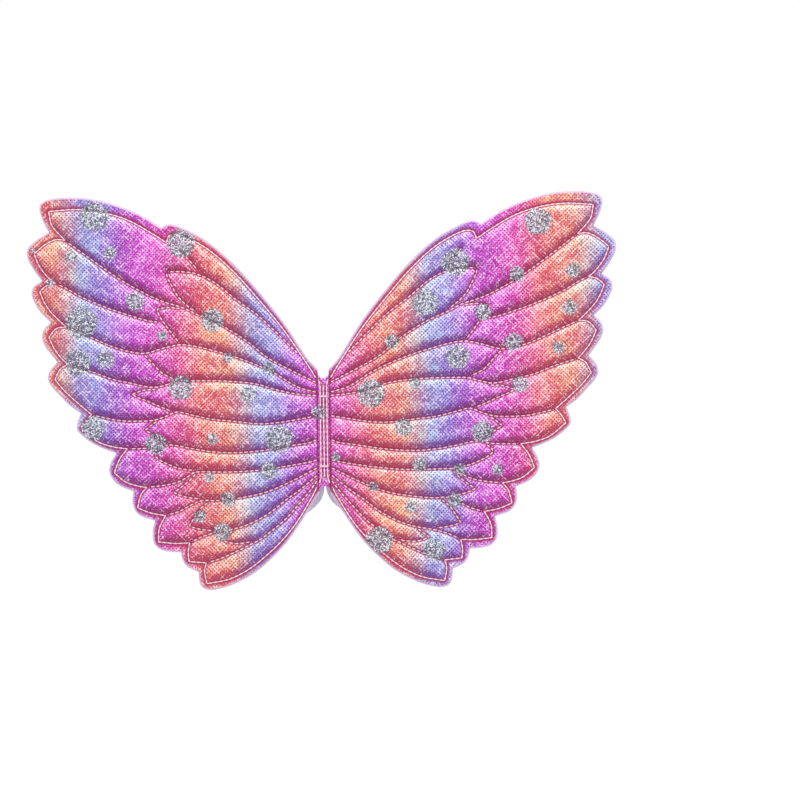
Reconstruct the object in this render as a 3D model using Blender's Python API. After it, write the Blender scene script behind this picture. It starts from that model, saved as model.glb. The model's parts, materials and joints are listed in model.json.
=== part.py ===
"""Child's fairy wings in quilted sponge foam, standing upright as they are worn.

The decorated face looks along -Y and the wearer's back is on the +Y side.  The origin is the
centre of the raised felt pad on the spine's back.  Lengths are in millimetres and MM turns them into metres.
A wing is drawn once, as distances (out from the spine, up), and is made on both sides.
"""
import math

import bmesh
import bpy
from mathutils import Vector

MM = 0.001

# Spine: a strip stitched flat between the two wings
SPINE_WIDTH = 8.6
SPINE_TOP = 44.0
SPINE_FOOT = -46.0
SPINE_CHAMFER = 3.0
SPINE_SEAM_OFFSET = 2.6
SPINE_SEAM_TOP = 36.0
BAR_TACK_HEIGHTS = {"upper": 27.0, "lower": -27.5}
BAR_TACK_LENGTH = 6.0
PAD_FOOT = -19.0
PAD_TOP = 15.0

# Layers, as depths in front of the pad's back face
GAP = 0.3
PAD_PROUD = 1.7
SPINE_BACKING_PROUD = 1.1
BACKING_THICKNESS = 0.8
FABRIC_THICKNESS = 0.5
THREAD_WIDTH = 0.9
THREAD_HEIGHT = 0.6
CORE_THIN = 1.0
CORE_FULL = 4.1
BACKING_BACK = PAD_PROUD + SPINE_BACKING_PROUD
CORE_BACK = BACKING_BACK + BACKING_THICKNESS + GAP
ROOT_FRONT = CORE_BACK + CORE_THIN + GAP + FABRIC_THICKNESS

# Wing root: the foam rises from its stitched thickness to its full one over the first stretch
ROOT_GAP = 0.7
ROOT = SPINE_WIDTH / 2 + ROOT_GAP
FULL_FROM = 12.0
FABRIC_INSET = 1.6
EDGE_STEP = 6.5
SEAM_STEP = 10.0
TIP_STEP = 6.0

# Joints: a wing turns about the front of the gap at its root, a strap about its own sewn ends
HINGE_OUT = SPINE_WIDTH / 2 + ROOT_GAP / 2
HINGE_DEPTH = ROOT_FRONT
STRAP_AXIS_OUT = 3.3
STRAP_AXIS_DEPTH = 0.9

# Elastic straps
STRAP_WIDTH = 6.0
STRAP_THICKNESS = 1.0
STRAP_SPLAY = math.radians(35)
STRAP_SPLAY_REACH = 25.0
STRAP_STEP = 5.5
# route of one strap: (away from the spine, up), from its upper sewn end to its lower one
STRAP_ROUTE = [
    (0, 31), (0, 27), (0, 24), (12, 19), (45, 17), (80, 2), (93, -28), (80, -58), (50, -68),
    (22, -58), (5, -42), (0, -34), (0, -30), (0, -26),
]

# Cut edge of one wing, one smooth run for each feather, sharp where the runs meet
CUT_EDGE = [
    [(ROOT, 48), (12, 56.5), (30, 84.5), (50, 110), (70, 132.5), (90, 149.5), (108, 159.5),
     (118, 162.7), (124.5, 160)],
    [(124.5, 160), (140, 169.7), (160, 178.2), (180, 183.3), (200, 184.3), (214, 182.5),
     (219.3, 178), (217.5, 168), (212.2, 157.5)],
    [(212.2, 157.5), (222.5, 151.2), (229, 144.5), (229, 137), (224.5, 128.5), (218, 119.5)],
    [(218, 119.5), (224.5, 115.5), (226.4, 109.5), (224, 102.5), (219, 94.5), (211.5, 87.2)],
    [(211.5, 87.2), (217, 82.2), (218.7, 75.5), (216.5, 69), (212.5, 63.2), (207, 56.2)],
    [(207, 56.2), (212.5, 50), (214.5, 43.5), (211.5, 37), (206, 31), (198, 22.5), (189, 16)],
    [(189, 16), (191.8, 9.5), (192.3, 3.5), (188, -1.5), (181, -7), (173.5, -11), (162, -15.2)],
    [(162, -15.2), (166.5, -23), (167.6, -30), (164, -37), (157, -42), (149, -45)],
    [(149, -45), (149.9, -53), (148, -60), (143, -64.7), (132.5, -68.2)],
    [(132.5, -68.2), (134.4, -77), (133.3, -86), (128.5, -90.7), (121.5, -92.6), (112.5, -93.2)],
    [(112.5, -93.2), (111.3, -99.5), (107.5, -104.6), (99, -108.7)],
    [(99, -108.7), (98.8, -114), (97, -120), (91, -122.8), (82, -121.8), (70, -117.8), (54, -109),
     (40, -97), (28, -84), (15, -65), (ROOT, -48)],
]

# Stitched outline inside the cut edge, in the same order
STITCHED_EDGE = [
    [(6, 41.5), (10, 48.5), (30, 78.5), (50, 103.5), (70, 126), (90, 143.5), (110, 154),
     (118, 153.8), (120.7, 148)],
    [(120.7, 148), (130, 154.2), (150, 165.7), (170, 172.2), (190, 174.7), (212, 173.5)],
    [(212, 173.5), (209.5, 162.5), (199.5, 151)],
    [(199.5, 151), (207, 151.4), (215, 147.7), (223.7, 140.7)],
    [(223.7, 140.7), (219.5, 130.7), (212, 121.2), (207.5, 117.5)],
    [(207.5, 117.5), (214, 115.9), (219.7, 111.3)],
    [(219.7, 111.3), (216, 102.5), (211, 95), (199.5, 83.5)],
    [(199.5, 83.5), (207, 82.3), (213, 75.7)],
    [(213, 75.7), (209, 67), (204, 60), (198.7, 54.2)],
    [(198.7, 54.2), (204.5, 50.6), (208.7, 42.7)],
    [(208.7, 42.7), (201.5, 34), (191.5, 24.5), (180.5, 15)],
    [(180.5, 15), (184.5, 10.7), (188.5, 4)],
    [(188.5, 4), (176, -6), (165, -10), (153, -12)],
    [(153, -12), (159, -19.7), (163.5, -30.5)],
    [(163.5, -30.5), (155, -37.5), (147, -40.5), (138.5, -42.2)],
    [(138.5, -42.2), (143, -48), (145.7, -58)],
    [(145.7, -58), (135, -62.2), (124, -64.2)],
    [(124, -64.2), (129, -74.2), (129.7, -84.7)],
    [(129.7, -84.7), (116.5, -86), (105.5, -85.7)],
    [(105.5, -85.7), (106.7, -93), (106.2, -100.2)],
    [(106.2, -100.2), (92.7, -101.5)],
    [(92.7, -101.5), (94.2, -108), (92.5, -117.7)],
    [(92.5, -117.7), (75, -114.3), (60, -107), (45.5, -96), (34.5, -85.7), (22.5, -71.5),
     (10, -51.5), (6, -43.5)],
]

# Quilting seams that run out from the spine, each towards the notch between two feathers
VEINS = {
    "shoulder": [(108.8, 140.6), (102.5, 133.5), (96.8, 126.6)],
    "vein_01": [(20, 61), (40.5, 81.5), (52, 92), (67, 103), (84, 116.8), (98, 123.6), (110, 125.4),
                (119.5, 125.4)],
    "vein_02": [(6, 38), (22, 46), (43, 57.5), (57, 69), (70, 78), (84, 86), (98, 92), (109, 97.5),
                (125, 102.7), (141, 110.4), (156, 119.2), (169, 128.2), (189, 143), (198, 149.7)],
    "vein_03": [(128.6, 86.4), (137, 87.8), (151, 92.2), (165, 97), (179, 102.8), (189, 107.5),
                (199, 113.5), (205.8, 116.8)],
    "vein_04": [(6, 30.3), (20, 34.5), (38, 45.5), (53, 52.5), (70, 59), (85, 63.5), (98.5, 67),
                (111, 68.5), (124, 66), (138, 62.3), (150, 63.6), (163, 67.4), (180, 75),
                (197.8, 82.9)],
    "vein_05": [(6, 27.6), (22, 29.2), (40, 33.5), (50, 36.7), (60, 38.4), (80, 40), (100, 40.3),
                (113, 40), (122, 37.5), (131, 35.6), (140, 36.7), (150, 39.2), (163, 42), (180, 48.4),
                (196.8, 53.6)],
    "vein_06": [(6, 11.7), (20, 9.3), (35, 7), (50, 6.2), (70, 8.4), (88, 10.4), (102, 13.6),
                (114, 16.2), (122, 13.2), (132, 10.1), (145, 9.5), (160, 10.3), (178.8, 14.4)],
    "vein_07": [(6, -7), (12, -9.2), (23, -10.7), (46, -14.4), (70, -16.1), (88, -14.9), (102, -12.6),
                (119, -9.4), (128, -11), (140, -11.8), (151.2, -12)],
    "vein_08": [(6, -22.6), (12, -24.2), (33, -27.6), (55, -30.2), (75, -31), (92, -30.6), (101, -31),
                (106, -34), (112.5, -37.7), (122, -40.3), (136.7, -42)],
    "vein_09": [(6, -29), (12, -32), (21, -36.7), (41, -45.5), (53, -49), (70, -51.8), (85, -53.2),
                (95, -52.9), (104, -56.3), (113, -61), (122.3, -63.9)],
    "vein_10": [(6, -34.7), (11, -39), (21, -47), (31, -54), (41, -62), (51, -68), (61, -72.5),
                (72, -75.6), (86, -78.2), (96, -81.2), (103.8, -84.9)],
    "vein_11": [(6, -39), (11, -46), (21, -57.8), (31, -68.6), (41.5, -77.2), (51, -84), (61, -89),
                (71, -93.7), (81, -98), (90.9, -101.2)],
}

# Pointed ends of the inner row of panels: an upper run to the point, then a lower run back
PANEL_TIPS = {
    "panel_tip_1": [[(120.9, 123.6), (120, 120.5), (117, 114.5), (112.5, 106.5), (107, 100.5),
                     (99, 94.2)]],
    "panel_tip_2": [[(111, 96.6), (120, 97.7), (128.5, 96.4)],
                    [(128.5, 96.4), (127, 91.6), (123.5, 86), (117.5, 77.5), (111.8, 70.2)]],
    "panel_tip_3": [[(138.6, 60.6), (134, 56), (129, 50.3), (124, 45.8), (115.5, 41.6)]],
    "panel_tip_4": [[(130.5, 33.9), (140, 33.4), (149, 30.4)],
                    [(149, 30.4), (144, 27.7), (137, 25), (129.5, 21.5), (118.4, 16.9)]],
    "panel_tip_5": [[(130.2, 8.9), (135, 5.6), (139, 2.4)],
                    [(139, 2.4), (134.5, -0.3), (129, -4.5), (123.2, -8.2)]],
    "panel_tip_6": [[(127, -12.7), (130.5, -15.3), (131.5, -18.2)],
                    [(131.5, -18.2), (127.5, -21.3), (121.5, -24.4), (113, -27.8), (101.5, -29.4)]],
    "panel_tip_7": [[(100.5, -32.7), (106, -38.2), (117.3, -46.5)],
                    [(117.3, -46.5), (112, -48.8), (105, -50.7), (97, -51.6)]],
    "panel_tip_8": [[(91.5, -55), (97.5, -60), (101.5, -66), (105.7, -72.6)],
                    [(105.7, -72.6), (99, -74.9), (87, -76.7)]],
    "panel_tip_9": [[(72.5, -77.4), (78, -81.4), (81, -83.6)],
                    [(81, -83.6), (76.5, -85.4), (69.5, -86.8), (57.2, -85.5)]],
}

# Finishes: base colour, roughness, metallic
FINISHES = {
    "foil_fabric": ((0.62, 0.16, 0.50, 1.0), 0.38, 0.55),
    "sponge": ((0.93, 0.88, 0.90, 1.0), 0.95, 0.0),
    "felt": ((0.86, 0.80, 0.88, 1.0), 0.9, 0.0),
    "thread": ((0.90, 0.52, 0.60, 1.0), 0.5, 0.0),
    "elastic": ((0.90, 0.90, 0.92, 1.0), 0.75, 0.0),
}


def clear_scene():
    for thing in list(bpy.data.objects):
        bpy.data.objects.remove(thing, do_unlink=True)


def finish_of(piece_name, kind):
    colour, roughness, metallic = FINISHES[kind]
    material = bpy.data.materials.new(f"{piece_name}_{kind}")
    material.use_nodes = True
    shader = material.node_tree.nodes["Principled BSDF"]
    shader.inputs["Base Color"].default_value = colour
    shader.inputs["Roughness"].default_value = roughness
    shader.inputs["Metallic"].default_value = metallic
    return material


def add_piece(name, mesh_in_bmesh, kind, carrier):
    """Close the mesh outwards, move it into its carrier's frame and name the piece."""
    bmesh.ops.recalc_face_normals(mesh_in_bmesh, faces=mesh_in_bmesh.faces)
    bmesh.ops.scale(mesh_in_bmesh, vec=(MM, MM, MM), verts=mesh_in_bmesh.verts)
    bmesh.ops.translate(mesh_in_bmesh, vec=-carrier.location, verts=mesh_in_bmesh.verts)
    mesh = bpy.data.meshes.new(name)
    mesh_in_bmesh.to_mesh(mesh)
    mesh_in_bmesh.free()
    mesh.materials.append(finish_of(name, kind))
    piece = bpy.data.objects.new(name, mesh)
    piece.parent = carrier
    bpy.context.collection.objects.link(piece)
    return piece


def add_axis(name, x, y):
    """An empty on a vertical line, which carries what turns about that line."""
    empty = bpy.data.objects.new(name, None)
    empty.location = (x * MM, y * MM, 0)
    bpy.context.collection.objects.link(empty)
    return empty


def smooth_run(points, step):
    """Points about one step apart on a smooth curve through the given points."""
    knots = [Vector(point) for point in points]
    before = knots[0] * 2 - knots[1]
    after = knots[-1] * 2 - knots[-2]
    knots = [before] + knots + [after]
    run = [knots[1]]
    for first, start, end, last in zip(knots, knots[1:], knots[2:], knots[3:]):
        chord = (end - start).length
        leave = (end - first) * (chord / (chord + (start - first).length))
        arrive = (last - start) * (chord / (chord + (last - end).length))
        pieces = max(1, round(chord / step))
        for index in range(1, pieces + 1):
            t = index / pieces
            run.append(start * (2 * t**3 - 3 * t**2 + 1) + leave * (t**3 - 2 * t**2 + t)
                       + end * (3 * t**2 - 2 * t**3) + arrive * (t**3 - t**2))
    return run


def joined_runs(runs, step):
    """Smooth runs one after the other, with the shared end points kept sharp."""
    line = smooth_run(runs[0], step)
    for run in runs[1:]:
        line += smooth_run(run, step)[1:]
    return line


def side_normals(line):
    """For each point, the unit direction to the left of the line's way."""
    normals = []
    for index in range(len(line)):
        behind = line[max(index - 1, 0)]
        ahead = line[min(index + 1, len(line) - 1)]
        way = (ahead - behind).normalized()
        normals.append(Vector((-way.y, way.x)))
    return normals


def inset_line(line, distance):
    """The line moved into the wing, its two ends kept on the wing's root."""
    moved = [point - normal * distance for point, normal in zip(line, side_normals(line))]
    moved[0] = Vector((ROOT, line[0].y - distance))
    moved[-1] = Vector((ROOT, line[-1].y + distance))
    return moved


def with_point_at(line, out):
    """The line with a point added wherever it crosses the given distance from the spine."""
    result = [line[0]]
    for start, end in zip(line, line[1:]):
        if (start.x - out) * (end.x - out) < 0:
            result.append(start.lerp(end, (out - start.x) / (end.x - start.x)))
        result.append(end)
    return result


def rise(out):
    """How far the foam has risen to its full thickness, from 0 at the root to 1."""
    return min(max((out - ROOT) / (FULL_FROM - ROOT), 0), 1)


def triangulate(mesh_in_bmesh):
    """Cut every face into triangles, which needs the faces' own directions first."""
    mesh_in_bmesh.normal_update()
    bmesh.ops.triangulate(mesh_in_bmesh, faces=mesh_in_bmesh.faces)


def flat_layer(outline, back, front):
    """A sheet of even thickness from an outline of (x, z) points."""
    layer = bmesh.new()
    face = layer.faces.new([layer.verts.new((x, -back, z)) for x, z in outline])
    extruded = bmesh.ops.extrude_face_region(layer, geom=[face], use_keep_orig=True)
    raised = [item for item in extruded["geom"] if isinstance(item, bmesh.types.BMVert)]
    bmesh.ops.translate(layer, vec=(0, back - front, 0), verts=raised)
    triangulate(layer)
    return layer


def wing_layer(line, side, back, front, back_rise, front_rise):
    """One layer of a wing: a ramp beside the spine, then the flat field of the wing."""
    layer = bmesh.new()
    line = with_point_at(line, FULL_FROM)
    is_ramp = [point.x < FULL_FROM - 1e-4 for point in line]
    knee = [index for index, point in enumerate(line) if abs(point.x - FULL_FROM) <= 1e-4]
    sheets = []
    for depth, growth in ((back, back_rise), (front, front_rise)):
        corners = [layer.verts.new((side * point.x, -depth - growth * rise(point.x), point.y))
                   for point in line]
        field = corners[knee[0]:knee[-1] + 1]
        ramp = [vert for vert, low in zip(corners, is_ramp) if low]
        top = ramp[:is_ramp.index(False)]
        foot = ramp[is_ramp.index(False):]
        layer.faces.new(field)
        layer.faces.new(top + [corners[knee[0]], corners[knee[-1]]] + foot)
        sheets.append(corners)
    rims = zip(zip(sheets[0], sheets[0][1:] + sheets[0][:1]), zip(sheets[1], sheets[1][1:] + sheets[1][:1]))
    for (back_start, back_end), (front_start, front_end) in rims:
        layer.faces.new((back_start, back_end, front_end, front_start))
    triangulate(layer)
    return layer


def thread_run(line, side):
    """A sewn run of thread that lies on the front fabric, flat and square in section."""
    line = with_point_at(line, FULL_FROM)
    thread = bmesh.new()
    rings = []
    for point, normal in zip(line, side_normals(line)):
        low = ROOT_FRONT + (CORE_FULL - CORE_THIN) * rise(point.x) + GAP
        near = point + normal * (THREAD_WIDTH / 2)
        far = point - normal * (THREAD_WIDTH / 2)
        rings.append([thread.verts.new((side * across.x, -depth, across.y))
                      for across, depth in ((near, low), (far, low), (far, low + THREAD_HEIGHT),
                                            (near, low + THREAD_HEIGHT))])
    skin_rings(thread, rings)
    return thread


def skin_rings(mesh_in_bmesh, rings):
    """Walls between rings of vertices, with both ends closed."""
    for ring, next_ring in zip(rings, rings[1:]):
        for index in range(len(ring)):
            after = (index + 1) % len(ring)
            mesh_in_bmesh.faces.new((ring[index], ring[after], next_ring[after], next_ring[index]))
    mesh_in_bmesh.faces.new(rings[0])
    mesh_in_bmesh.faces.new(rings[-1])
    triangulate(mesh_in_bmesh)


def bar(half_width, low_z, high_z, back, front):
    """A straight block across or along the spine."""
    outline = [(-half_width, low_z), (half_width, low_z), (half_width, high_z), (-half_width, high_z)]
    return flat_layer(outline, back, front)


def spine_outline():
    """The spine strip's outline, notched at both ends where the two cut edges meet."""
    half = SPINE_WIDTH / 2
    cut = SPINE_CHAMFER
    return [(-half, SPINE_FOOT + cut / 3), (-cut / 2, SPINE_FOOT + cut), (cut / 2, SPINE_FOOT + cut),
            (half, SPINE_FOOT + cut / 3), (half, SPINE_TOP), (cut / 2, SPINE_TOP - cut),
            (-cut / 2, SPINE_TOP - cut), (-half, SPINE_TOP)]


def padded_backing():
    """The spine's felt: a strip whose middle stands proud, between the straps' sewn ends."""
    half = SPINE_WIDTH / 2
    outline = spine_outline()
    backing = bmesh.new()

    def corner(x, z):
        return backing.verts.new((x, -PAD_PROUD, z))

    pad = [corner(-half, PAD_FOOT), corner(half, PAD_FOOT), corner(half, PAD_TOP), corner(-half, PAD_TOP)]
    foot = [corner(*point) for point in outline[:4]]
    head = [corner(*point) for point in outline[4:]]
    middle = backing.faces.new(pad)
    faces = [middle, backing.faces.new(foot + [pad[1], pad[0]]), backing.faces.new([pad[3], pad[2]] + head)]
    front = bmesh.ops.extrude_face_region(backing, geom=faces, use_keep_orig=True)
    front_verts = [item for item in front["geom"] if isinstance(item, bmesh.types.BMVert)]
    thickness = SPINE_BACKING_PROUD + BACKING_THICKNESS
    bmesh.ops.translate(backing, vec=(0, -thickness, 0), verts=front_verts)
    raised = bmesh.ops.extrude_face_region(backing, geom=[middle])
    raised_verts = [item for item in raised["geom"] if isinstance(item, bmesh.types.BMVert)]
    bmesh.ops.translate(backing, vec=(0, PAD_PROUD, 0), verts=raised_verts)
    bmesh.ops.delete(backing, geom=[middle], context="FACES_ONLY")
    triangulate(backing)
    return backing


def build_spine(carrier):
    core_front = CORE_BACK + CORE_THIN
    strip = spine_outline()
    add_piece("spine_backing", padded_backing(), "felt", carrier)
    add_piece("spine_core", flat_layer(strip, CORE_BACK, core_front), "sponge", carrier)
    add_piece("spine_front_fabric", flat_layer(strip, core_front + GAP, ROOT_FRONT), "foil_fabric", carrier)
    seam_back = ROOT_FRONT + GAP
    seam_front = seam_back + THREAD_HEIGHT
    for name, x in (("left", -SPINE_SEAM_OFFSET), ("centre", 0), ("right", SPINE_SEAM_OFFSET)):
        seam = bar(THREAD_WIDTH / 2, -SPINE_SEAM_TOP, SPINE_SEAM_TOP, seam_back, seam_front)
        bmesh.ops.translate(seam, vec=(x, 0, 0), verts=seam.verts)
        add_piece(f"spine_seam_{name}", seam, "thread", carrier)
    for name, height in BAR_TACK_HEIGHTS.items():
        tack = bar(BAR_TACK_LENGTH / 2, height - THREAD_WIDTH / 2, height + THREAD_WIDTH / 2,
                   seam_front + GAP, seam_front + GAP + THREAD_HEIGHT)
        add_piece(f"bar_tack_{name}", tack, "thread", carrier)


def build_wing(side, side_name, carrier):
    edge = joined_runs(CUT_EDGE, EDGE_STEP)
    growth = CORE_FULL - CORE_THIN
    core_front = CORE_BACK + CORE_THIN
    fabric_back = core_front + GAP
    backing = wing_layer(edge, side, BACKING_BACK, BACKING_BACK + BACKING_THICKNESS, 0, 0)
    add_piece(f"{side_name}_wing_backing", backing, "felt", carrier)
    core = wing_layer(edge, side, CORE_BACK, core_front, 0, growth)
    add_piece(f"{side_name}_wing_foam_core", core, "sponge", carrier)
    fabric = wing_layer(inset_line(edge, FABRIC_INSET), side, fabric_back,
                        fabric_back + FABRIC_THICKNESS, growth, growth)
    add_piece(f"{side_name}_wing_front_fabric", fabric, "foil_fabric", carrier)
    outline = thread_run(joined_runs(STITCHED_EDGE, SEAM_STEP), side)
    add_piece(f"{side_name}_outline_seam", outline, "thread", carrier)
    for name, points in VEINS.items():
        vein = thread_run(smooth_run(points, SEAM_STEP), side)
        add_piece(f"{side_name}_{name}_seam", vein, "thread", carrier)
    for name, runs in PANEL_TIPS.items():
        tip = thread_run(joined_runs(runs, TIP_STEP), side)
        add_piece(f"{side_name}_{name}_seam", tip, "thread", carrier)


def strap_angle(away):
    """How far the strap has turned to its own side, that far along from the spine."""
    share = min(max(away / STRAP_SPLAY_REACH, 0), 1)
    return STRAP_SPLAY * share * share * (3 - 2 * share)


def strap_place(away):
    """Where the strap is, out and back from its sewn ends, after turning steadily to its side."""
    steps = 24
    angles = [strap_angle(away * (index + 0.5) / steps) for index in range(steps)]
    out = sum(math.sin(angle) for angle in angles) * away / steps
    back = sum(math.cos(angle) for angle in angles) * away / steps
    return out, back


def build_strap(side, side_name, carrier):
    """A loop of flat elastic, sewn flat to the spine at both ends and splayed to its own side."""
    route = smooth_run(STRAP_ROUTE, STRAP_STEP)
    places = []
    across = []
    for away, up in route:
        away = max(away, 0)
        angle = strap_angle(away)
        out, back = strap_place(away)
        places.append(Vector((side * (STRAP_AXIS_OUT + out), back - STRAP_AXIS_DEPTH, up)))
        across.append(Vector((side * math.cos(angle), -math.sin(angle), 0)))
    strap = bmesh.new()
    rings = []
    for index, (place, width_way) in enumerate(zip(places, across)):
        behind = places[max(index - 1, 0)]
        ahead = places[min(index + 1, len(places) - 1)]
        way = (ahead - behind).normalized()
        width_way = (width_way - way * width_way.dot(way)).normalized() * (STRAP_WIDTH / 2)
        thick_way = way.cross(width_way).normalized() * (STRAP_THICKNESS / 2)
        rings.append([strap.verts.new(place + width_way * a + thick_way * b)
                      for a, b in ((1, 1), (-1, 1), (-1, -1), (1, -1))])
    skin_rings(strap, rings)
    add_piece(f"{side_name}_elastic_strap", strap, "elastic", carrier)


def main():
    clear_scene()
    build_spine(add_axis("spine_frame", 0, 0))
    for side, side_name in ((-1, "left"), (1, "right")):
        hinge = add_axis(f"{side_name}_wing_hinge", side * HINGE_OUT, -HINGE_DEPTH)
        build_wing(side, side_name, hinge)
        strap_axis = add_axis(f"{side_name}_strap_axis", side * STRAP_AXIS_OUT, -STRAP_AXIS_DEPTH)
        build_strap(side, side_name, strap_axis)


main()
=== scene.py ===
"""Child's fairy wings in quilted sponge foam: foil fabric, foam, felt, threads, glitter and elastic.

The wings stand upright as they are worn, with the decorated face along -Y.  Tables and sizes are in
millimetres, and MM turns them into metres.  A wing is drawn once, as distances (out from the spine, up),
and is made on both sides.  A depth is a distance in front of the felt pad's back face, along -Y.
"""
import functools
import json
import math
import random

import bmesh
import bpy
from bpy.props import FloatProperty, FloatVectorProperty, PointerProperty
from mathutils import Matrix, Vector, noise
from mathutils.bvhtree import BVHTree
from mathutils.geometry import delaunay_2d_cdt
from mathutils.kdtree import KDTree

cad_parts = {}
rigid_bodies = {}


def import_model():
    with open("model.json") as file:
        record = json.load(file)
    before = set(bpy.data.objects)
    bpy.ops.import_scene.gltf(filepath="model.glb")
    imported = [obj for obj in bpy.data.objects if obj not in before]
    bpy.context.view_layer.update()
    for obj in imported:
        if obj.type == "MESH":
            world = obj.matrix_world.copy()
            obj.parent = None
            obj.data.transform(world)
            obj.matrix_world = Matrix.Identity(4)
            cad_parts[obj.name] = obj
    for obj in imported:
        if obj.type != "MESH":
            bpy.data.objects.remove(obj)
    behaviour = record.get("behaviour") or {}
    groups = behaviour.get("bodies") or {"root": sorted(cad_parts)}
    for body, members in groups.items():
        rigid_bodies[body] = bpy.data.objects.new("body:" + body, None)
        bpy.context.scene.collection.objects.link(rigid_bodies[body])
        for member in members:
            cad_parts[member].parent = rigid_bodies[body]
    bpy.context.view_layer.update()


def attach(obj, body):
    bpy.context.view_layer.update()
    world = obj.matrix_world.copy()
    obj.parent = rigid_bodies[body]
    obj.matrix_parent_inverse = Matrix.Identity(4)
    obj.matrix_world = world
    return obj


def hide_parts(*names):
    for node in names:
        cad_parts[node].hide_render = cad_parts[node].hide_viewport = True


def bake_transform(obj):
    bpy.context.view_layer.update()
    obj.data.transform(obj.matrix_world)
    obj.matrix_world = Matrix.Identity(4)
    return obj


bl_info = {
    "name": "Quilted fairy wings",
    "version": (1, 0, 0),
    "blender": (4, 5, 0),
    "location": "View3D > Sidebar > Fairy Wings",
    "description": "Quilted foam wings with foil fabric, glitter dots and elastic straps",
    "category": "Add Mesh",
}

for leftover in list(bpy.data.objects):
    bpy.data.objects.remove(leftover, do_unlink=True)
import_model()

MM = 0.001
SIDES = (("left", -1), ("right", 1))

# Spine strip, and the wings' roots beside it
SPINE_HALF = 4.3
SPINE_TOP = 44.0
SPINE_FOOT = -46.0
SPINE_NOTCH = 3.0
ROOT_TOP = 48.0
ROOT_REACH = 46

# Spine seams: places across, and where the outer two start to flare and how far out they end
SPINE_SEAMS = {"left": -2.6, "centre": 0.0, "right": 2.6}
SPINE_SEAM_TOP = 36.0
SPINE_FLARE_TOP = 40.5
SPINE_FLARE = 1.5
BAR_TACKS = {"upper": 27.0, "lower": -27.5}
BAR_TACK_LENGTH = 6.0

# Felt: its two faces, how far seams draw it in, and the pad that stands proud behind the spine
BACKING_BACK = 2.8
BACKING_FRONT = 3.6
BACKING_DRAW = 0.6
PAD_PROUD = 1.7
PAD_FOOT = -19.0
PAD_TOP = 15.0

# Foam and fabric: depths, how far the foam's front lies under the fabric's, and the least foam
SPINE_CORE_BACK = 3.9
SPINE_SEAM_DEPTH = 5.3
SPINE_PUFF = 0.75
FABRIC_THICKNESS = 0.3
FOAM_SINK = 0.55
SPINE_FOAM_SINK = 0.5
LEAST_FOAM = 0.6

# A depth in front of everything, and a distance from seams at which cloth has no groove
IN_FRONT = 50.0
NO_GROOVE = 10.0

# How far out from the spine a wing's seam must start to ride with its wing's body; seams that start nearer
# are baked in place
BEND_END = 9.5

# Spacing of the quilted surface's points
LINE_STEP = 1.0
EDGE_STEP = 1.8
FIELD_STEP = 2.0
FIELD_ROW_SHARE = 0.87
FINE_ROWS = (0.55, 1.25, 2.2)
FINE_ROW_STEP = 1.5
CORE_STEP = 3.2
CORE_ROWS = (0.9, 2.4)
CORE_ROW_STEP = 2.6
FABRIC_INSET = 1.6
SMOOTHING_ROUNDS = 5
CRISP_ANGLE = math.radians(62)

# Thread: corners round it, rings from one stitch to the next, how far it stands off the cloth, how deep
# it dips between stitches and under glitter, and the depths of the threads that lie in no groove
THREAD_CORNERS = 6
RINGS_A_PITCH = 6
THREAD_LIFT = 0.4
OUTLINE_DIP = 0.12
PANEL_SEAM_DIP = 0.75
SPINE_SEAM_DIP = 0.2
BOBBIN_DEPTH = BACKING_BACK + 0.2
BOBBIN_DIP = -0.6
UNDER_GLITTER = 0.8
BAR_TACK_DEPTH = 6.55
STRAP_STITCH_DEPTH = 0.38

# Glitter flakes: corners, how far their two faces stand off the cloth, and the room at the spine's edges
FLAKE_CORNERS = 6
FLAKE_LIFTS = (0.02, 0.16)
SPINE_FLAKE_MARGIN = 0.7

# Elastic straps
STRAP_AXIS_OUT = 3.3
STRAP_AXIS_DEPTH = 0.9
STRAP_WIDTH = 6.0
STRAP_THICKNESS = 1.0
STRAP_RIBS = 10
STRAP_STEP = 2.0
STRAP_STITCH_ROWS = (28.6, 25.4, -28.6, -31.8)
STRAP_STITCH_MARGIN = 0.7
STRAP_SPLAY = math.radians(35)
STRAP_SPLAY_REACH = 25.0
# Route of one strap: (away from the spine, up), from its upper sewn end to its lower one
STRAP_ROUTE = [
    (0, 31), (0, 27), (0, 24), (12, 19), (45, 17), (80, 2), (93, -28), (80, -58), (50, -68),
    (22, -58), (5, -42), (0, -34), (0, -30), (0, -26),
]

# Camera and floor; the camera's view is this wide at the depth of the puffed face
VIEW_WIDTH = 621.6
FACE_DEPTH = 9.0
LENS = 85.0
SENSOR = 36.0
CAMERA_OUT = 59.6
CAMERA_UP = 23.3
CAMERA_ROLL = math.radians(-0.75)
FLOOR_DROP = 400.0
FLOOR_SIZE = 9000.0

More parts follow.
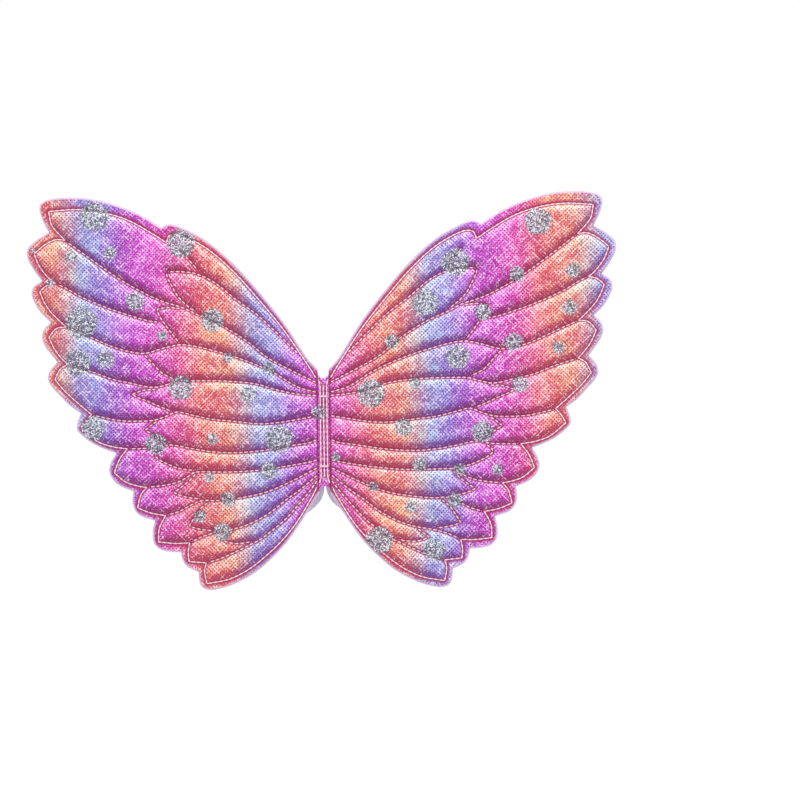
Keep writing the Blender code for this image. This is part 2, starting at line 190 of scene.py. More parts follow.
# Cut edge of one wing, one smooth run for each feather, sharp where the runs meet
CUT_EDGE = [
    [(SPINE_HALF, ROOT_TOP), (12, 56.5), (30, 84.5), (50, 110), (70, 132.5), (90, 149.5), (108, 159.5),
     (118, 162.7), (124.5, 160)],
    [(124.5, 160), (140, 169.7), (160, 178.2), (180, 183.3), (200, 184.3), (214, 182.5),
     (219.3, 178), (217.5, 168), (212.2, 157.5)],
    [(212.2, 157.5), (222.5, 151.2), (229, 144.5), (229, 137), (224.5, 128.5), (218, 119.5)],
    [(218, 119.5), (224.5, 115.5), (226.4, 109.5), (224, 102.5), (219, 94.5), (211.5, 87.2)],
    [(211.5, 87.2), (217, 82.2), (218.7, 75.5), (216.5, 69), (212.5, 63.2), (207, 56.2)],
    [(207, 56.2), (212.5, 50), (214.5, 43.5), (211.5, 37), (206, 31), (198, 22.5), (189, 16)],
    [(189, 16), (191.8, 9.5), (192.3, 3.5), (188, -1.5), (181, -7), (173.5, -11), (162, -15.2)],
    [(162, -15.2), (166.5, -23), (167.6, -30), (164, -37), (157, -42), (149, -45)],
    [(149, -45), (149.9, -53), (148, -60), (143, -64.7), (132.5, -68.2)],
    [(132.5, -68.2), (134.4, -77), (133.3, -86), (128.5, -90.7), (121.5, -92.6), (112.5, -93.2)],
    [(112.5, -93.2), (111.3, -99.5), (107.5, -104.6), (99, -108.7)],
    [(99, -108.7), (98.8, -114), (97, -120), (91, -122.8), (82, -121.8), (70, -117.8), (54, -109),
     (40, -97), (28, -84), (15, -65), (SPINE_HALF, -ROOT_TOP)],
]

# Stitched outline inside the cut edge, in the same order
STITCHED_EDGE = [
    [(6, 41.5), (10, 48.5), (30, 78.5), (50, 103.5), (70, 126), (90, 143.5), (110, 154),
     (118, 153.8), (120.7, 148)],
    [(120.7, 148), (130, 154.2), (150, 165.7), (170, 172.2), (190, 174.7), (212, 173.5)],
    [(212, 173.5), (209.5, 162.5), (199.5, 151)],
    [(199.5, 151), (207, 151.4), (215, 147.7), (223.7, 140.7)],
    [(223.7, 140.7), (219.5, 130.7), (212, 121.2), (207.5, 117.5)],
    [(207.5, 117.5), (214, 115.9), (219.7, 111.3)],
    [(219.7, 111.3), (216, 102.5), (211, 95), (199.5, 83.5)],
    [(199.5, 83.5), (207, 82.3), (213, 75.7)],
    [(213, 75.7), (209, 67), (204, 60), (198.7, 54.2)],
    [(198.7, 54.2), (204.5, 50.6), (208.7, 42.7)],
    [(208.7, 42.7), (201.5, 34), (191.5, 24.5), (180.5, 15)],
    [(180.5, 15), (184.5, 10.7), (188.5, 4)],
    [(188.5, 4), (176, -6), (165, -10), (153, -12)],
    [(153, -12), (159, -19.7), (163.5, -30.5)],
    [(163.5, -30.5), (155, -37.5), (147, -40.5), (138.5, -42.2)],
    [(138.5, -42.2), (143, -48), (145.7, -58)],
    [(145.7, -58), (135, -62.2), (124, -64.2)],
    [(124, -64.2), (129, -74.2), (129.7, -84.7)],
    [(129.7, -84.7), (116.5, -86), (105.5, -85.7)],
    [(105.5, -85.7), (106.7, -93), (106.2, -100.2)],
    [(106.2, -100.2), (92.7, -101.5)],
    [(92.7, -101.5), (94.2, -108), (92.5, -117.7)],
    [(92.5, -117.7), (75, -114.3), (60, -107), (45.5, -96), (34.5, -85.7), (22.5, -71.5),
     (10, -51.5), (6, -43.5)],
]

# Quilting seams that run out from the spine, each towards the notch between two feathers
VEINS = {
    "shoulder": [(108.8, 140.6), (102.5, 133.5), (96.8, 126.6)],
    "vein_01": [(20, 61), (40.5, 81.5), (52, 92), (67, 103), (84, 116.8), (98, 123.6), (110, 125.4),
                (119.5, 125.4)],
    "vein_02": [(6, 38), (22, 46), (43, 57.5), (57, 69), (70, 78), (84, 86), (98, 92), (109, 97.5),
                (125, 102.7), (141, 110.4), (156, 119.2), (169, 128.2), (189, 143), (198, 149.7)],
    "vein_03": [(128.6, 86.4), (137, 87.8), (151, 92.2), (165, 97), (179, 102.8), (189, 107.5),
                (199, 113.5), (205.8, 116.8)],
    "vein_04": [(6, 30.3), (20, 34.5), (38, 45.5), (53, 52.5), (70, 59), (85, 63.5), (98.5, 67),
                (111, 68.5), (124, 66), (138, 62.3), (150, 63.6), (163, 67.4), (180, 75),
                (197.8, 82.9)],
    "vein_05": [(6, 27.6), (22, 29.2), (40, 33.5), (50, 36.7), (60, 38.4), (80, 40), (100, 40.3),
                (113, 40), (122, 37.5), (131, 35.6), (140, 36.7), (150, 39.2), (163, 42), (180, 48.4),
                (196.8, 53.6)],
    "vein_06": [(6, 11.7), (20, 9.3), (35, 7), (50, 6.2), (70, 8.4), (88, 10.4), (102, 13.6),
                (114, 16.2), (122, 13.2), (132, 10.1), (145, 9.5), (160, 10.3), (178.8, 14.4)],
    "vein_07": [(6, -7), (12, -9.2), (23, -10.7), (46, -14.4), (70, -16.1), (88, -14.9), (102, -12.6),
                (119, -9.4), (128, -11), (140, -11.8), (151.2, -12)],
    "vein_08": [(6, -22.6), (12, -24.2), (33, -27.6), (55, -30.2), (75, -31), (92, -30.6), (101, -31),
                (106, -34), (112.5, -37.7), (122, -40.3), (136.7, -42)],
    "vein_09": [(6, -29), (12, -32), (21, -36.7), (41, -45.5), (53, -49), (70, -51.8), (85, -53.2),
                (95, -52.9), (104, -56.3), (113, -61), (122.3, -63.9)],
    "vein_10": [(6, -34.7), (11, -39), (21, -47), (31, -54), (41, -62), (51, -68), (61, -72.5),
                (72, -75.6), (86, -78.2), (96, -81.2), (103.8, -84.9)],
    "vein_11": [(6, -39), (11, -46), (21, -57.8), (31, -68.6), (41.5, -77.2), (51, -84), (61, -89),
                (71, -93.7), (81, -98), (90.9, -101.2)],
}

# Pointed ends of the inner row of panels: an upper run to the point, then a lower run back
PANEL_TIPS = {
    "panel_tip_1": [[(120.9, 123.6), (120, 120.5), (117, 114.5), (112.5, 106.5), (107, 100.5),
                     (99, 94.2)]],
    "panel_tip_2": [[(111, 96.6), (120, 97.7), (128.5, 96.4)],
                    [(128.5, 96.4), (127, 91.6), (123.5, 86), (117.5, 77.5), (111.8, 70.2)]],
    "panel_tip_3": [[(138.6, 60.6), (134, 56), (129, 50.3), (124, 45.8), (115.5, 41.6)]],
    "panel_tip_4": [[(130.5, 33.9), (140, 33.4), (149, 30.4)],
                    [(149, 30.4), (144, 27.7), (137, 25), (129.5, 21.5), (118.4, 16.9)]],
    "panel_tip_5": [[(130.2, 8.9), (135, 5.6), (139, 2.4)],
                    [(139, 2.4), (134.5, -0.3), (129, -4.5), (123.2, -8.2)]],
    "panel_tip_6": [[(127, -12.7), (130.5, -15.3), (131.5, -18.2)],
                    [(131.5, -18.2), (127.5, -21.3), (121.5, -24.4), (113, -27.8), (101.5, -29.4)]],
    "panel_tip_7": [[(100.5, -32.7), (106, -38.2), (117.3, -46.5)],
                    [(117.3, -46.5), (112, -48.8), (105, -50.7), (97, -51.6)]],
    "panel_tip_8": [[(91.5, -55), (97.5, -60), (101.5, -66), (105.7, -72.6)],
                    [(105.7, -72.6), (99, -74.9), (87, -76.7)]],
    "panel_tip_9": [[(72.5, -77.4), (78, -81.4), (81, -83.6)],
                    [(81, -83.6), (76.5, -85.4), (69.5, -86.8), (57.2, -85.5)]],
}

# Glitter dots: (out from the spine, up, radius).  The left wing's last one is what the spine's dot, whose
# first number is its place across instead, lays on that wing.
GLITTER_DOTS = {
    "left": [
        (176.4, 169.3, 11.5), (109.1, 147.4, 11), (194.8, 137.6, 4.5), (164.2, 140.7, 5), (224.7, 143, 2),
        (211.5, 117.8, 3.5), (145.2, 102.9, 7.5), (187.4, 86.5, 12.5), (85.4, 87.1, 9), (124.6, 75.6, 4),
        (190.3, 55.5, 10), (168.8, 58.2, 7), (73.8, 58, 4), (110.6, 34.9, 9.5), (58.2, 28.8, 6),
        (42.4, 49.1, 5), (179.5, 4.3, 9.5), (130.7, -8.3, 8), (86.6, -4.9, 4.5), (35.1, -5.5, 11),
        (42.9, -30.4, 7), (89.5, -34.8, 4), (74.9, -52.4, 6), (97.4, -65, 5), (80.3, -77.6, 7),
        (3.9, 14.4, 5.5),
    ],
    "right": [
        (168.6, 160.8, 10.7), (103.7, 129.7, 11), (80.1, 98.7, 10), (151.8, 120, 6), (195.5, 122.2, 5.5),
        (124.7, 91, 6.5), (192.4, 93.5, 6), (53.9, 68.7, 5.5), (148.4, 67.5, 7), (183.3, 62.6, 5),
        (104.5, 56.4, 9.5), (153.3, 34.4, 6.5), (37.2, 28.8, 11), (71.3, 36.4, 4.5), (61.9, 2.2, 7),
        (123.5, -2.1, 8.5), (9, -20.3, 3.6), (74.1, -27.4, 5.5), (105.1, -31.4, 5), (134.6, -31.8, 4.5),
        (38.1, -43.8, 4), (67.3, -59.4, 4.5), (101.4, -55.3, 6), (42, -85.6, 10.5), (84.7, -93.5, 8.5),
    ],
}
SPINE_DOT = (-3.9, 14.4, 5.5)


def srgb(red, green, blue):
    """A colour given in 0 to 255 steps, as the linear values that shaders take."""
    linear = []
    for step in (red, green, blue):
        share = step / 255
        linear.append(share / 12.92 if share <= 0.04045 else ((share + 0.055) / 1.055) ** 2.4)
    return (*linear, 1.0)


def smoothstep(low, high, value):
    """0 up to low and 1 from high on, smooth between them; it falls where low is above high."""
    share = min(max((value - low) / (high - low), 0), 1)
    return share * share * (3 - 2 * share)


def smooth_run(points, step):
    """Points about one step apart on a smooth curve through the given points."""
    knots = [Vector(point) for point in points]
    before = knots[0] * 2 - knots[1]
    after = knots[-1] * 2 - knots[-2]
    knots = [before] + knots + [after]
    run = [knots[1]]
    for first, start, end, last in zip(knots, knots[1:], knots[2:], knots[3:]):
        chord = (end - start).length
        leave = (end - first) * (chord / (chord + (start - first).length))
        arrive = (last - start) * (chord / (chord + (last - end).length))
        pieces = max(1, round(chord / step))
        for index in range(1, pieces + 1):
            t = index / pieces
            run.append(start * (2 * t**3 - 3 * t**2 + 1) + leave * (t**3 - 2 * t**2 + t)
                       + end * (3 * t**2 - 2 * t**3) + arrive * (t**3 - t**2))
    return run


def joined_runs(runs, step):
    """Smooth runs one after the other, with the shared end points kept sharp."""
    line = smooth_run(runs[0], step)
    for run in runs[1:]:
        line += smooth_run(run, step)[1:]
    return line


def spaced(line, step):
    """Points at even distances along a line, both ends among them."""
    lengths = [0.0]
    for start, end in zip(line, line[1:]):
        lengths.append(lengths[-1] + (end - start).length)
    count = max(2, round(lengths[-1] / step))
    points = []
    index = 0
    for number in range(count + 1):
        target = lengths[-1] * number / count
        while index < len(line) - 2 and lengths[index + 1] < target:
            index += 1
        stretch = max(lengths[index + 1] - lengths[index], 1e-9)
        points.append(line[index].lerp(line[index + 1], (target - lengths[index]) / stretch))
    return points


def side_normals(line):
    """For each point, the unit direction to the left of the line's way."""
    normals = []
    for index in range(len(line)):
        way = (line[min(index + 1, len(line) - 1)] - line[max(index - 1, 0)]).normalized()
        normals.append(Vector((-way.y, way.x)))
    return normals


def wing_edge(step, inset=0.0):
    """The wing's outline from the top of its root round to its foot, moved in by the inset."""
    line = joined_runs(CUT_EDGE, step)
    moved = [point - normal * inset for point, normal in zip(line, side_normals(line))]
    moved[0] = Vector((SPINE_HALF, line[0].y - inset))
    moved[-1] = Vector((SPINE_HALF, line[-1].y + inset))
    return moved


def root_points(step):
    """Points up the straight root of a wing, between the ends of its outline."""
    return [Vector((SPINE_HALF, up)) for up in range(-ROOT_REACH, ROOT_REACH, step)]


def wing_seams():
    """Every sewn line of one wing by its name, as lists of points close together."""
    seams = {"outline": joined_runs(STITCHED_EDGE, LINE_STEP)}
    for name, points in VEINS.items():
        seams[name] = smooth_run(points, LINE_STEP)
    for name, runs in PANEL_TIPS.items():
        seams[name] = joined_runs(runs, LINE_STEP)
    return seams


class Nearest:
    """Finds how far a point lies from a set of lines, and on which side of the nearest one."""

    def __init__(self, lines, step=0.5):
        self.points = []
        self.normals = []
        self.labels = []
        for label, line in lines.items():
            close = spaced(line, step)
            self.points += close
            self.normals += side_normals(close)
            self.labels += [label] * len(close)
        self.tree = KDTree(len(self.points))
        for index, point in enumerate(self.points):
            self.tree.insert(point.to_3d(), index)
        self.tree.balance()

    def distance(self, point):
        """How far the nearest line is."""
        return self.tree.find(point.to_3d())[2]

    def lean(self, point):
        """1 just below a line, where a puff faces up, to -1 just above one, fading with distance."""
        found, _, distance = self.tree.find(point.to_3d())
        if distance < 0.3:
            return 0.0
        return (found.y - point.y) / distance * smoothstep(9.0, 1.5, distance)

    def find(self, point):
        """The distance, the nearest line's label, and whether the point is on its left."""
        found, index, distance = self.tree.find(point.to_3d())
        left = (point - found.to_2d()).dot(self.normals[index]) > 0
        return distance, self.labels[index], left


class Pattern:
    """A flat field of points and triangles inside an outline, closest together beside its seams."""

    def __init__(self, outline, seams, rows, row_step, field_step, seed):
        self.cells = {}
        self.points = []
        self.room = row_step * 0.42
        self.edge = Nearest({"edge": outline + outline[:1]})
        self.near = Nearest(seams)
        for point in outline:
            self.keep(point, 0)
        border = len(self.points)
        self.line_seams(seams, rows, row_step)
        self.fill(outline, rows[-1], field_step, random.Random(seed))
        found = delaunay_2d_cdt(self.points, [], [list(range(border))], 1, 1e-4)
        used = sorted({index for face in found[2] for index in face})
        number = {index: place for place, index in enumerate(used)}
        self.points = [Vector(found[0][index]) for index in used]
        self.triangles = [tuple(number[index] for index in face) for face in found[2]]

    def line_seams(self, seams, rows, row_step):
        """Rows of points along both sides of every seam, at the rows' distances from it."""
        for line in seams.values():
            even = spaced(line, row_step)
            normals = side_normals(even)
            for row in rows:
                for way in (-1, 1):
                    for point, normal in zip(even, normals):
                        place = point + normal * (way * row)
                        no_nearer = self.near.distance(place) > row - 0.12
                        if no_nearer and self.edge.distance(place) > self.room:
                            self.keep(place, self.room)

    def fill(self, outline, last_row, step, draw):
        """Points a step apart, each moved a little at random, beyond the rows beside the seams."""
        low = Vector((min(p.x for p in outline), min(p.y for p in outline)))
        high = Vector((max(p.x for p in outline), max(p.y for p in outline)))
        rise = step * FIELD_ROW_SHARE
        for up in range(int((high.y - low.y) / rise) + 1):
            for out in range(int((high.x - low.x) / step) + 1):
                shift = 0.5 * (up % 2)
                place = low + Vector(((out + shift) * step, up * rise))
                place += Vector((draw.uniform(-0.2, 0.2), draw.uniform(-0.2, 0.2))) * step
                beyond = self.near.distance(place) > last_row + step * 0.45
                if beyond and self.edge.distance(place) > step * 0.5:
                    self.keep(place, self.room)

    def keep(self, point, room):
        """Takes a point unless another lies within the given room, as found from 2 mm cells."""
        column, row = math.floor(point.x / 2), math.floor(point.y / 2)
        around = [(column + right, row + up) for right in (-1, 0, 1) for up in (-1, 0, 1)]
        if all((other - point).length >= room for cell in around for other in self.cells.get(cell, ())):
            self.cells.setdefault((column, row), []).append(point)
            self.points.append(point)

    def neighbours(self):
        """For each point, the points that share a triangle's side with it."""
        beside = [set() for _ in self.points]
        for a, b, c in self.triangles:
            beside[a].update((b, c))
            beside[b].update((a, c))
            beside[c].update((a, b))
        return beside

    def rim(self):
        """The directed sides that only one triangle has."""
        sides = {}
        for a, b, c in self.triangles:
            for start, end in ((a, b), (b, c), (c, a)):
                if (end, start) in sides:
                    del sides[(end, start)]
                else:
                    sides[(start, end)] = True
        return list(sides)

    def surface(self, depths):
        """The field lifted to its depths, for finding the place and slope of what lies on it."""
        corners = [Vector((p.x, -depth, p.y)) for p, depth in zip(self.points, depths)]
        return BVHTree.FromPolygons(corners, self.triangles)


def eased(values, pattern, rounds, free=None):
    """Values at a pattern's points, each drawn half way to its neighbours' mean in every round."""
    beside = pattern.neighbours()
    for _ in range(rounds):
        after = list(values)
        for index, others in enumerate(beside):
            if free is None or free[index]:
                mean = sum(values[other] for other in others) / len(others)
                after[index] = 0.5 * (values[index] + mean)
        values = after
    return values


def puffed(distance, reach):
    """How far foam beside a seam has risen, 0 under the thread to 1 where it is full."""
    share = min(max(distance - 0.5, 0) / reach, 1)
    return math.sqrt(1 - (1 - share) ** 2)


class WingQuilt:
    """The quilted shape of one wing: how deep its front lies at any point."""

    def __init__(self, sizes):
        self.sizes = sizes
        self.seams = wing_seams()
        self.lines = dict(self.seams)
        self.lines["root"] = [Vector((SPINE_HALF, ROOT_TOP)), Vector((SPINE_HALF, -ROOT_TOP))]
        self.near = Nearest(self.lines)
        self.edge = Nearest({"edge": wing_edge(LINE_STEP)})

    def find(self, point):
        """Distance to the nearest seam, and whether the point is in the border outside the outline seam."""
        distance, label, left = self.near.find(point)
        return distance, label == "outline" and left

    def depth(self, point, slack=0.0):
        """Depth of the front fabric; slack widens the grooves, for the foam under it."""
        sizes = self.sizes
        distance, in_border = self.find(point)
        distance = max(distance - slack, 0)
        if in_border:
            height = sizes.margin_puff * puffed(distance, sizes.margin_reach)
        else:
            height = sizes.puff * puffed(distance, sizes.puff_reach)
        height *= smoothstep(-4, 7, self.edge.distance(point))
        broad = noise.noise(Vector((point.x * 0.16, point.y * 0.16, 3.0)))
        fine = noise.noise(Vector((point.x * 0.45, point.y * 0.45, 8.0)))
        slack_cloth = smoothstep(0.6, 3.5, distance)
        return sizes.seam_depth + height + sizes.crumple * (broad + 0.6 * fine) * slack_cloth

    def groove(self, point):
        """Distance to the nearest seam, counted short in the border, where the dent is wider."""
        distance, in_border = self.find(point)
        return distance * (0.55 if in_border else 1.0)

    def lean(self, point):
        """How far the cloth faces up, from 1 to -1, and less of that in the border, which is flatter."""
        in_border = self.find(point)[1]
        return self.near.lean(point) * (0.3 if in_border else 1.0)

    def smoothed(self, pattern, slack=0.0):
        """Depths for a pattern's points, eased where two puffs meet away from any seam."""
        depths = [self.depth(point, slack) for point in pattern.points]
        free = [self.near.distance(point) > 1.6 for point in pattern.points]
        return eased(depths, pattern, SMOOTHING_ROUNDS, free)


@functools.lru_cache(maxsize=None)
def wing_quilt():
    """The quilt for the sizes that are set, worked out once for both wings."""
    return WingQuilt(bpy.context.scene.fairy_wing_sizes)


@functools.lru_cache(maxsize=None)
def front_pattern():
    """The front fabric's field and depths, and its surface, the same for both wings."""
    quilt = wing_quilt()
    outline = wing_edge(EDGE_STEP, FABRIC_INSET) + root_points(2)
    pattern = Pattern(outline, quilt.lines, FINE_ROWS, FINE_ROW_STEP, FIELD_STEP, seed=11)
    depths = quilt.smoothed(pattern)
    return pattern, depths, pattern.surface(depths)


@functools.lru_cache(maxsize=None)
def core_pattern():
    """The foam's field and depths, which also serve the felt behind it."""
    quilt = wing_quilt()
    outline = wing_edge(EDGE_STEP) + root_points(4)
    lines = dict(quilt.lines)
    lines["under the fabric's edge"] = wing_edge(EDGE_STEP, FABRIC_INSET + 0.5)
    pattern = Pattern(outline, lines, CORE_ROWS, CORE_ROW_STEP, CORE_STEP, seed=12)
    rim_depth = quilt.sizes.rim_depth
    depths = []
    for point, fabric in zip(pattern.points, quilt.smoothed(pattern, slack=1.0)):
        under = fabric - FOAM_SINK
        inside = smoothstep(0.0, 2.0, quilt.edge.distance(point))
        rim = rim_depth + (under - rim_depth) * inside
        depths.append(max(min(rim, under), BACKING_FRONT + LEAST_FOAM))
    return pattern, depths


def new_piece(name, vertices, faces, material, smooth=True):
    """A closed mesh, given in millimetres, as an object with its own material."""
    mesh = bpy.data.meshes.new(name)
    mesh.from_pydata([Vector(vertex) * MM for vertex in vertices], [], faces)
    outward = bmesh.new()
    outward.from_mesh(mesh)
    bmesh.ops.recalc_face_normals(outward, faces=outward.faces)
    outward.to_mesh(mesh)
    outward.free()
    mesh.polygons.foreach_set("use_smooth", [smooth] * len(mesh.polygons))
    mesh.materials.append(material)
    piece = bpy.data.objects.new(name, mesh)
    bpy.context.scene.collection.objects.link(piece)
    return piece


def store(piece, name, values):
    """Keeps a number, or a vector in millimetres, at every vertex for the material to read."""
    if isinstance(values[0], Vector):
        attribute = piece.data.attributes.new(name, "FLOAT_VECTOR", "POINT")
        attribute.data.foreach_set("vector", [part for value in values for part in value])
    else:
        attribute = piece.data.attributes.new(name, "FLOAT", "POINT")
        attribute.data.foreach_set("value", values)


def store_rest(piece):
    """Keeps where each vertex lies at rest, so that cloth patterns stay put when a wing folds."""
    store(piece, "rest", [vertex.co / MM for vertex in piece.data.vertices])


def layer_piece(name, pattern, front, back, side, material):
    """A closed layer from a flat pattern, with a depth for each point in front and behind."""
    vertices = [(side * p.x, -depth, p.y) for p, depth in zip(pattern.points, front)]
    vertices += [(side * p.x, -depth, p.y) for p, depth in zip(pattern.points, back)]
    count = len(pattern.points)
    faces = list(pattern.triangles)
    faces += [(c + count, b + count, a + count) for a, b, c in pattern.triangles]
    faces += [(end, start, start + count, end + count) for start, end in pattern.rim()]
    piece = new_piece(name, vertices, faces, material)
    piece.data.set_sharp_from_angle(angle=CRISP_ANGLE)
    store_rest(piece)
    return piece


def dot_share(point, dots):
    """How far a point lies inside a glitter dot, from 0 outside to 1 inside."""
    share = 0.0
    for out, up, radius in dots:
        share = max(share, smoothstep(radius + 0.6, radius - 0.9, (point - Vector((out, up))).length))
    return share


def tube_piece(name, rings, material):
    """A closed tube from rings of vertices, in order along it."""
    corners = len(rings[0])
    vertices = [vertex for ring in rings for vertex in ring]
    faces = []
    for base in range(0, len(vertices) - corners, corners):
        for corner in range(corners):
            after = (corner + 1) % corners
            faces.append((base + corner, base + after, base + corners + after, base + corners + corner))
    faces.append(tuple(range(corners)))
    faces.append(tuple(range(len(vertices) - corners, len(vertices))))
    piece = new_piece(name, vertices, faces, material)
    store_rest(piece)
    return piece


def thread_ring(point, normal, depth, half_width, half_height, side):
    """The corners round a thread where it lies flat at a depth."""
    ring = []
    for corner in range(THREAD_CORNERS):
        turn = math.tau * corner / THREAD_CORNERS
        across = point + normal * (half_width * math.cos(turn))
        ring.append((side * across.x, -depth - half_height * math.sin(turn), across.y))
    return ring


def stitched_line(name, line, depth_at, side, dip, dots=()):
    """A sewn run: thread that swells over each stitch, dips between two and hides under the dots."""
    sizes = bpy.context.scene.fairy_wing_sizes
    length = sum((end - start).length for start, end in zip(line, line[1:]))
    stitches = max(1, round(length / sizes.stitch_pitch))
    even = spaced(line, length / (stitches * RINGS_A_PITCH))
    rings = []
    for index, (point, normal) in enumerate(zip(even, side_normals(even))):
        share = (index % RINGS_A_PITCH) / RINGS_A_PITCH / sizes.stitch_share
        swell = math.sqrt(max(math.sin(math.pi * min(share + 0.08, 1)), 0)) if share < 1 else 0.0
        half_width = 0.5 * sizes.thread_width * (0.55 + 0.45 * swell)
        half_height = 0.42 * sizes.thread_width * (0.6 + 0.4 * swell)
        middle = depth_at(point) + THREAD_LIFT - dip * (1 - swell) - UNDER_GLITTER * dot_share(point, dots)
        rings.append(thread_ring(point, normal, middle, half_width, half_height, side))
    return tube_piece(name, rings, quilting_thread())


def zigzag(name, middle, reach, rise, turns, step, depth, half_width, half_height, side):
    """Thread of an even width laid from side to side, up and down by the rise, round a middle point."""
    line = []
    for turn in range(turns * 2 + 1):
        out = reach * (turn / (turns * 2) - 0.5)
        line.append(middle + Vector((out, rise if turn % 2 else -rise)))
    even = spaced(line, step)
    rings = [thread_ring(point, normal, depth, half_width, half_height, side)
             for point, normal in zip(even, side_normals(even))]
    return tube_piece(name, rings, quilting_thread())


def joined_piece(name, parts):
    """Several pieces as one object that keeps the first one's name and material."""
    whole = bmesh.new()
    for part in parts:
        whole.from_mesh(part.data)
    mesh = parts[0].data
    whole.to_mesh(mesh)
    whole.free()
    for part in parts[1:]:
        bpy.data.objects.remove(part, do_unlink=True)
    parts[0].name = name
    return parts[0]


def touch(surface, point):
    """Where a line straight back through a flat point meets a surface, and the surface's normal there."""
    return surface.ray_cast(Vector((point.x, -IN_FRONT, point.y)), Vector((0, 1, 0)))[:2]


def depth_on(surface, floor):
    """A function that gives a surface's depth at a flat point, or the floor where there is none."""
    def depth_at(point):
        hit = touch(surface, point)[0]
        return -hit.y if hit else floor
    return depth_at


def bend_at_root(piece, side_name, side):
    """Bakes the piece's placing into its mesh."""
    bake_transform(piece)


class Socket:
    """A socket in a material; sums written with it add their Math nodes."""

    def __init__(self, finish, socket):
        self.finish = finish
        self.socket = socket

    def maths(self, operation, *others):
        """A Math node whose first operand is this number."""
        return self.finish.maths(operation, self, *others)

    def __add__(self, other):
        return self.maths("ADD", other)

    __radd__ = __add__

    def __mul__(self, other):
        return self.maths("MULTIPLY", other)

    __rmul__ = __mul__

    def __sub__(self, other):
        return self.maths("SUBTRACT", other)

    def __rsub__(self, other):
        return self.finish.maths("SUBTRACT", other, self)

    def __truediv__(self, other):
        return self.maths("DIVIDE", other)

    def __rtruediv__(self, other):
        return self.finish.maths("DIVIDE", other, self)

    def between(self, low, high):
        """0 below low and 1 above high, smooth between them."""
        return self.finish.add("ShaderNodeMapRange", {"interpolation_type": "SMOOTHSTEP"},
                               {"Value": self, "From Min": low, "From Max": high})


class Finish:
    """A material with one Principled shader, and what is needed to build its node tree."""

    def __init__(self, name, **constants):
        self.material = bpy.data.materials.new(name)
        self.material.use_nodes = True
        self.tree = self.material.node_tree
        self.shader = self.tree.nodes["Principled BSDF"]
        for socket, value in constants.items():
            self.set(socket.replace("_", " ").title().replace("Ior", "IOR"), value)

    def feed(self, socket, value):
        """Links a node's output to a socket, or sets the socket to a plain value."""
        if isinstance(value, Socket):
            self.tree.links.new(value.socket, socket)
        else:
            socket.default_value = value

    def add(self, kind, settings=None, values=None, output=0):
        """A node of that type: its settings are made first, then the values or links of its sockets."""
        node = self.tree.nodes.new(kind)
        for key, setting in (settings or {}).items():
            if key == "stops":
                ramp = node.color_ramp
                for position, _ in setting[2:]:
                    ramp.elements.new(position)
                for element, (position, colour) in zip(ramp.elements, sorted(setting)):
                    element.position = position
                    element.color = colour
            else:
                setattr(node, key, setting)
        for key, value in (values or {}).items():
            self.feed(node.inputs[key], value)
        return Socket(self, node.outputs[output])

    def maths(self, operation, *values):
        """A Math node on numbers, sockets or both."""
        return self.add("ShaderNodeMath", {"operation": operation}, dict(enumerate(values)))

    def attribute(self, name, vector=False):
        """What a piece's vertices were given under that name, as a number or a vector."""
        return self.add("ShaderNodeAttribute", {"attribute_name": name}, output=1 if vector else 2)

    def along(self, place, direction):
        """How far a place lies along a direction."""
        return self.add("ShaderNodeVectorMath", {"operation": "DOT_PRODUCT"},
                        {0: place, 1: direction}, output=1)

    def vector(self, x, y, z):
        """Three numbers as a vector."""
        return self.add("ShaderNodeCombineXYZ", None, {0: x, 1: y, 2: z})

    def noise(self, place, scale, detail=2.0, roughness=0.5):
        """Cloudy values round 0.5, with about the given number of clouds in a millimetre."""
        return self.add("ShaderNodeTexNoise", None,
                        {"Vector": place, "Scale": scale, "Detail": detail, "Roughness": roughness})

    def mix(self, share, first, second):
        """The first colour with a share of the second one over it."""
        return self.add("ShaderNodeMix", {"data_type": "RGBA"}, {0: share, 6: first, 7: second}, output=2)

    def ramp(self, value, stops):
        """A colour for a value from 0 to 1; the first two stops are the two ends."""
        return self.add("ShaderNodeValToRGB", {"stops": stops}, {0: value})

    def bump(self, height, distance, strength=1.0):
        """Relief whose height is in parts of the given distance, in metres."""
        normal = self.add("ShaderNodeBump", None,
                          {"Strength": strength, "Distance": distance, "Height": height})
        self.set("Normal", normal)

    def set(self, socket, value):
        """Feeds the shader's socket of that name."""
        self.feed(self.shader.inputs[socket], value)


def weave(finish, place, pitch):
    """Threads that cross at 45 degrees, 0 in the gaps to 1 on them, and the place along either way."""
    turn = math.tau / pitch
    rising = finish.along(place, (math.sqrt(0.5), 0, math.sqrt(0.5)))
    falling = finish.along(place, (-math.sqrt(0.5), 0, math.sqrt(0.5)))
    over = (rising * turn).maths("SINE")
    under = (falling * turn).maths("SINE")
    return over.maths("MAXIMUM", under) * 0.5 + 0.5, rising, falling


# The foil's rainbow: place in the band, then its plain colour, its painted-highlight colour and its
# painted-shade colour
RAINBOW = [
    (0.00, (186, 34, 172), (240, 118, 228), (126, 12, 98)),
    (1.00, (186, 34, 172), (240, 118, 228), (126, 12, 98)),
    (0.12, (198, 40, 146), (248, 130, 204), (142, 18, 84)),
    (0.21, (202, 58, 108), (255, 156, 162), (152, 28, 74)),
    (0.29, (206, 72, 88), (255, 192, 146), (158, 34, 70)),
    (0.43, (204, 86, 90), (255, 212, 152), (156, 40, 74)),
    (0.52, (178, 118, 146), (216, 224, 208), (126, 44, 98)),
    (0.59, (136, 124, 190), (176, 222, 242), (98, 44, 130)),
    (0.70, (134, 104, 196), (178, 198, 244), (96, 34, 130)),
    (0.79, (150, 72, 188), (206, 152, 242), (104, 22, 116)),
    (0.88, (172, 42, 182), (228, 120, 232), (118, 14, 108)),
]


